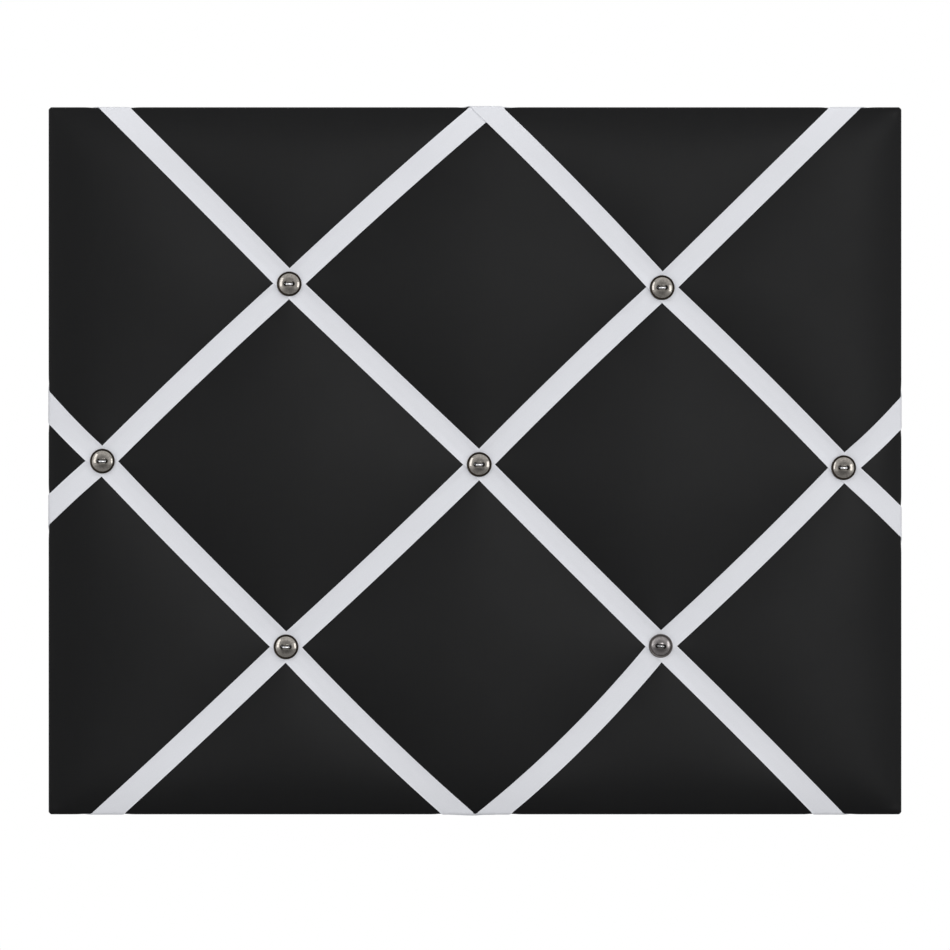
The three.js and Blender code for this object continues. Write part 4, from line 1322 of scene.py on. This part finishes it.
class MEMO_OT_backing(bpy.types.Operator):
    """Cut the backing card, with the line of glue under its rim, and ease its edges"""

    bl_idname = "memo.backing"
    bl_label = "Backing card"

    GLUE_INSET = 0.007
    GLUE_WIDTH = 0.003
    CORNER = 0.002
    BORDER = 0.0012
    EASE = 0.0004

    def execute(self, context):
        low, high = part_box("backing_sheet")
        deselect()
        bpy.ops.mesh.primitive_cube_add(size=1, location=(low + high) / 2)
        piece = bpy.context.object
        piece.name = "backing"
        piece.scale = high - low
        bpy.ops.object.transform_apply(location=True, scale=True)
        bpy.ops.object.mode_set(mode="EDIT")
        choose(lambda p: p.y < low.y + NEAR, "faces")
        bpy.ops.mesh.inset(thickness=self.GLUE_INSET, depth=0)
        bpy.ops.mesh.inset(thickness=self.GLUE_WIDTH, depth=0)
        line = self.GLUE_INSET + self.GLUE_WIDTH / 2
        choose(
            lambda p: p.y < low.y + NEAR
            and abs(max(abs(p.x) - high.x, abs(p.z) - high.z) + line) < self.GLUE_WIDTH / 3,
            "faces",
        )
        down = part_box("core_board")[1].y + SEAT - low.y
        bpy.ops.mesh.extrude_region_move(TRANSFORM_OT_translate={"value": (0, down, 0)})
        choose(lambda p: abs(p.x) > high.x - NEAR and abs(p.z) > high.z - NEAR, "edges")
        bpy.ops.mesh.bevel(offset=self.CORNER, segments=4)
        choose(lambda p: p.y > high.y - NEAR, "faces")
        bpy.ops.mesh.inset(thickness=self.BORDER, depth=0)
        bpy.ops.object.mode_set(mode="OBJECT")
        ease_edges(piece, self.EASE, 3, 0.7)
        smooth(piece, 40)
        dress(piece, black_card, "backing_card", "board", "backing_sheet")
        return {"FINISHED"}


class MEMO_OT_hangers(bpy.types.Operator):
    """Fold a strap round each ring's bar, bend the ring and drive the screw"""

    bl_idname = "memo.hangers"
    bl_label = "Ring hangers"

    # The strap's sheet, and the room that each of its two layers has
    STRAP = 0.00088
    LAYER = 0.0009
    LOOP_START = 0.004
    LOOP_EASE = 0.0032
    CORNER = 0.003
    EASE = 0.00016
    WIRE = 0.0011
    RING_LENGTH = 0.013
    RING_STRAIGHT = 0.4
    RING_BEND = 0.0016
    SHANK = 0.0017
    POINT = 0.0034
    HEAD = 0.002
    HEAD_RIM = 0.0006
    HEAD_EASE = 0.0001
    CROSS = (0.0036, 0.0009, 0.0026)
    CROSS_TURN = 20
    CROSS_TAPER = 0.55

    def execute(self, context):
        for side in ("left", "right"):
            low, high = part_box(f"hanger_strap_{side}")
            loop = (high.y - low.y) / 2
            bar = ((low.x + high.x) / 2, low.y + loop, high.z - loop)
            self.strap(side, low, high, bar, loop)
            self.ring(side, Vector(bar))
            self.screw(side)
        return {"FINISHED"}

    def strap(self, side, low, high, bar, loop):
        x, bar_y, bar_z = bar
        half = (high.x - low.x) / 2
        radius = loop - self.LAYER / 2
        first, second = low.y + self.LAYER / 2, low.y + self.LAYER * 1.5
        path = [(first, low.z), (first, bar_z - self.LOOP_START)]
        for k in range(16):
            angle = math.radians(180 - 15 * k)
            path.append((bar_y + radius * math.cos(angle), bar_z + radius * math.sin(angle)))
        y, z = path[-1]
        for share in stages(0, 1, 6):
            path.append((y + (second - y) * eased(share), z - self.LOOP_EASE * share))
        path.append((second, low.z))
        piece = drawn_line(f"strap_{side}", [(x - half, y, z) for y, z in path])
        bpy.ops.mesh.select_all(action="SELECT")
        bpy.ops.mesh.extrude_region_move(TRANSFORM_OT_translate={"value": (2 * half, 0, 0)})
        choose(lambda p: p.z < low.z + NEAR)
        bpy.ops.mesh.bevel(offset=self.CORNER, segments=5, affect="VERTICES")
        bpy.ops.mesh.select_all(action="SELECT")
        bpy.ops.mesh.normals_make_consistent(inside=False)
        bpy.ops.object.mode_set(mode="OBJECT")
        modify(piece, "SOLIDIFY", thickness=self.STRAP, offset=0)
        ease_edges(piece, self.EASE, 2, 0.8)
        smooth(piece, 40)
        dress(piece, zinc_steel, "hanger_steel", "board", f"hanger_strap_{side}")

    def ring(self, side, bar):
        low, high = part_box(f"hanger_ring_{side}")
        half = (high.x - low.x) / 2 - self.WIRE
        tilt = math.asin((high.y - self.WIRE - bar.y) / self.RING_LENGTH)
        straight = self.RING_LENGTH * self.RING_STRAIGHT
        bow = self.RING_LENGTH - straight
        corners = [(half, 0, -straight), (half, 0, 0), (-half, 0, 0), (-half, 0, -straight)]
        line = rounded(corners, self.RING_BEND)
        for k in range(1, 32):
            angle = math.pi - math.pi * k / 32
            line.append((half * math.cos(angle), 0, -straight - bow * math.sin(angle)))
        turn = Matrix.Rotation(tilt, 4, "X")
        placed = [tuple(bar + turn @ Vector(p)) for p in line]
        piece = bent_wire(f"ring_{side}", placed, self.WIRE, closed=True)
        dress(piece, zinc_steel, "hanger_steel", f"ring_{side}", f"hanger_ring_{side}")

    def screw(self, side):
        low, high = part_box(f"hanger_screw_{side}")
        head = (high.x - low.x) / 2
        seat = high.y - self.HEAD
        point = low.y - seat
        profile = [(0, point), (self.SHANK, point + self.POINT), (self.SHANK, 0)]
        profile += [(head - self.HEAD_EASE, 0), (head, self.HEAD_RIM / 2), (head, self.HEAD_RIM)]
        for k in range(1, 10):
            angle = math.pi / 2 * k / 10
            rise = (self.HEAD - self.HEAD_RIM) * math.sin(angle)
            profile.append((head * math.cos(angle), self.HEAD_RIM + rise))
        profile.append((0, self.HEAD))
        piece = turned_piece(f"screw_{side}", profile, 48)
        for turn in (0, math.pi / 2):
            deselect()
            bpy.ops.mesh.primitive_cube_add(size=1, location=(0, 0, self.HEAD))
            cutter = bpy.context.object
            cutter.scale = self.CROSS
            cutter.rotation_euler.z = turn + math.radians(self.CROSS_TURN)
            bpy.ops.object.transform_apply(location=True, rotation=True, scale=True)
            bpy.ops.object.mode_set(mode="EDIT")
            choose(lambda p: p.z < self.HEAD / 2)
            bpy.ops.transform.resize(
                value=(self.CROSS_TAPER, self.CROSS_TAPER, 1),
                center_override=(0, 0, self.HEAD - self.CROSS[2] / 2),
            )
            bpy.ops.object.mode_set(mode="OBJECT")
            carve(piece, cutter)
        smooth(piece, 35)
        place = Matrix.Translation(((low.x + high.x) / 2, seat, (low.z + high.z) / 2))
        piece.data.transform(place @ Matrix.Rotation(-math.pi / 2, 4, "X"))
        dress(piece, zinc_steel, "hanger_steel", "board", f"hanger_screw_{side}")


class MEMO_OT_hidden(bpy.types.Operator):
    """Finish the solids that stay: the core board and the staples"""

    bl_idname = "memo.hidden"
    bl_label = "Core and staples"

    def execute(self, context):
        solids = {"core_board": core_fibreboard}
        solids.update({node: drawn_wire for node in STAPLE_NODES})
        for node, finish in solids.items():
            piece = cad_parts[node]
            material = finished(finish)
            if not piece.material_slots:
                piece.data.materials.append(material)
            for slot in piece.material_slots:
                slot.material = material
        return {"FINISHED"}


# Stage


class MEMO_OT_stage(bpy.types.Operator):
    """Set the floor, lamps, white surroundings and the camera"""

    bl_idname = "memo.stage"
    bl_label = "Stage"

    # Width of the picture at the depth of the front, and the height of its centre
    FRAME_WIDTH = 0.5349
    FRONT = -0.0135
    CENTRE_Z = -0.0080
    DISTANCE = 2.6
    SENSOR = 36.0
    FLOOR_SIZE = (3.2, 2.9)
    FLOOR_PLACE = (0, -0.85, -0.345)
    AMBIENT = (0.26, 0.26, 0.263, 1.0)

    # Name, place, size, power, and whether it shows in glossy pieces
    SOFTBOXES = (
        ("right", (1.2, -0.66, 0.0), (0.38, 0.85), 2.4, True),
        ("left", (-1.15, -0.64, 0.36), (0.36, 1.2), 2.8, True),
        ("above", (0.0, -0.47, 1.1), (1.6, 0.6), 5.6, False),
        ("behind", (0.0, 1.25, 0.30), (1.5, 0.7), 11, False),
    )

    def execute(self, context):
        self.floor()
        self.surroundings(context)
        self.sun(place=(0.18, -1.0, 0.10), degrees=11, power=1.3)
        for name, place, size, power, glossy in self.SOFTBOXES:
            self.softbox(name, place, size, power).visible_glossy = glossy
        self.camera(context)
        context.scene.view_settings.view_transform = "Standard"
        return {"FINISHED"}

    def floor(self):
        deselect()
        bpy.ops.mesh.primitive_plane_add(size=1, location=(0, 0, 0))
        floor = bpy.context.object
        floor.name = "floor"
        stretch = Matrix.Diagonal((*self.FLOOR_SIZE, 1, 1))
        floor.data.transform(Matrix.Translation(self.FLOOR_PLACE) @ stretch)
        floor.data.materials.append(finished(floor_paint))

    def surroundings(self, context):
        world = bpy.data.worlds.new("surroundings")
        context.scene.world = world
        s = Shading(world)
        light = s.node("ShaderNodeBackground", None, {"Color": self.AMBIENT})
        white = s.node("ShaderNodeBackground", None, {"Color": WHITE})
        mixed = s.node("ShaderNodeMixShader", None, {0: s.shown(), 1: light, 2: white})
        s.join(mixed, s.tree.nodes["World Output"].inputs["Surface"])

    def sun(self, place, degrees, power):
        data = bpy.data.lights.new("front_lamp", "SUN")
        data.angle = math.radians(degrees)
        data.energy = power
        self.hang(data, place)

    def softbox(self, name, place, size, power):
        data = bpy.data.lights.new(f"softbox_{name}", "AREA")
        data.shape = "RECTANGLE"
        data.size, data.size_y = size
        data.energy = power
        return self.hang(data, place)

    def hang(self, data, place):
        lamp = bpy.data.objects.new(data.name, data)
        lamp.location = place
        lamp.rotation_euler = (-Vector(place)).to_track_quat("-Z", "Y").to_euler()
        lamp.visible_camera = False
        bpy.context.collection.objects.link(lamp)
        return lamp

    def camera(self, context):
        data = bpy.data.cameras.new("camera")
        data.sensor_width = self.SENSOR
        data.lens = self.SENSOR * self.DISTANCE / self.FRAME_WIDTH
        camera = bpy.data.objects.new("camera", data)
        camera.location = (0, self.FRONT - self.DISTANCE, self.CENTRE_Z)
        camera.rotation_euler = (math.pi / 2, 0, 0)
        context.collection.objects.link(camera)
        context.scene.camera = camera


class MEMO_PT_board(bpy.types.Panel):
    """Sizes, colours and building steps of the memo board"""

    bl_idname = "MEMO_PT_board"
    bl_label = "Memo board"
    bl_space_type = "VIEW_3D"
    bl_region_type = "UI"
    bl_category = "Memo board"

    def draw(self, context):
        for key in MemoBoardSettings.__annotations__:
            self.layout.prop(context.scene.memo_board, key)
        for step in STEPS:
            self.layout.operator(step.bl_idname)


STEPS = (
    MEMO_OT_cover,
    MEMO_OT_ribbons,
    MEMO_OT_buttons,
    MEMO_OT_backing,
    MEMO_OT_hangers,
    MEMO_OT_hidden,
    MEMO_OT_stage,
)
CLASSES = (MemoBoardSettings, *STEPS, MEMO_PT_board)


def register():
    for cls in CLASSES:
        bpy.utils.register_class(cls)
    bpy.types.Scene.memo_board = bpy.props.PointerProperty(type=MemoBoardSettings)


def unregister():
    del bpy.types.Scene.memo_board
    for cls in reversed(CLASSES):
        bpy.utils.unregister_class(cls)


def main():
    register()
    bpy.ops.memo.cover()
    bpy.ops.memo.ribbons()
    bpy.ops.memo.buttons()
    bpy.ops.memo.backing()
    bpy.ops.memo.hangers()
    bpy.ops.memo.hidden()
    bpy.ops.memo.stage()
    deselect()


if __name__ == "__main__":
    main()
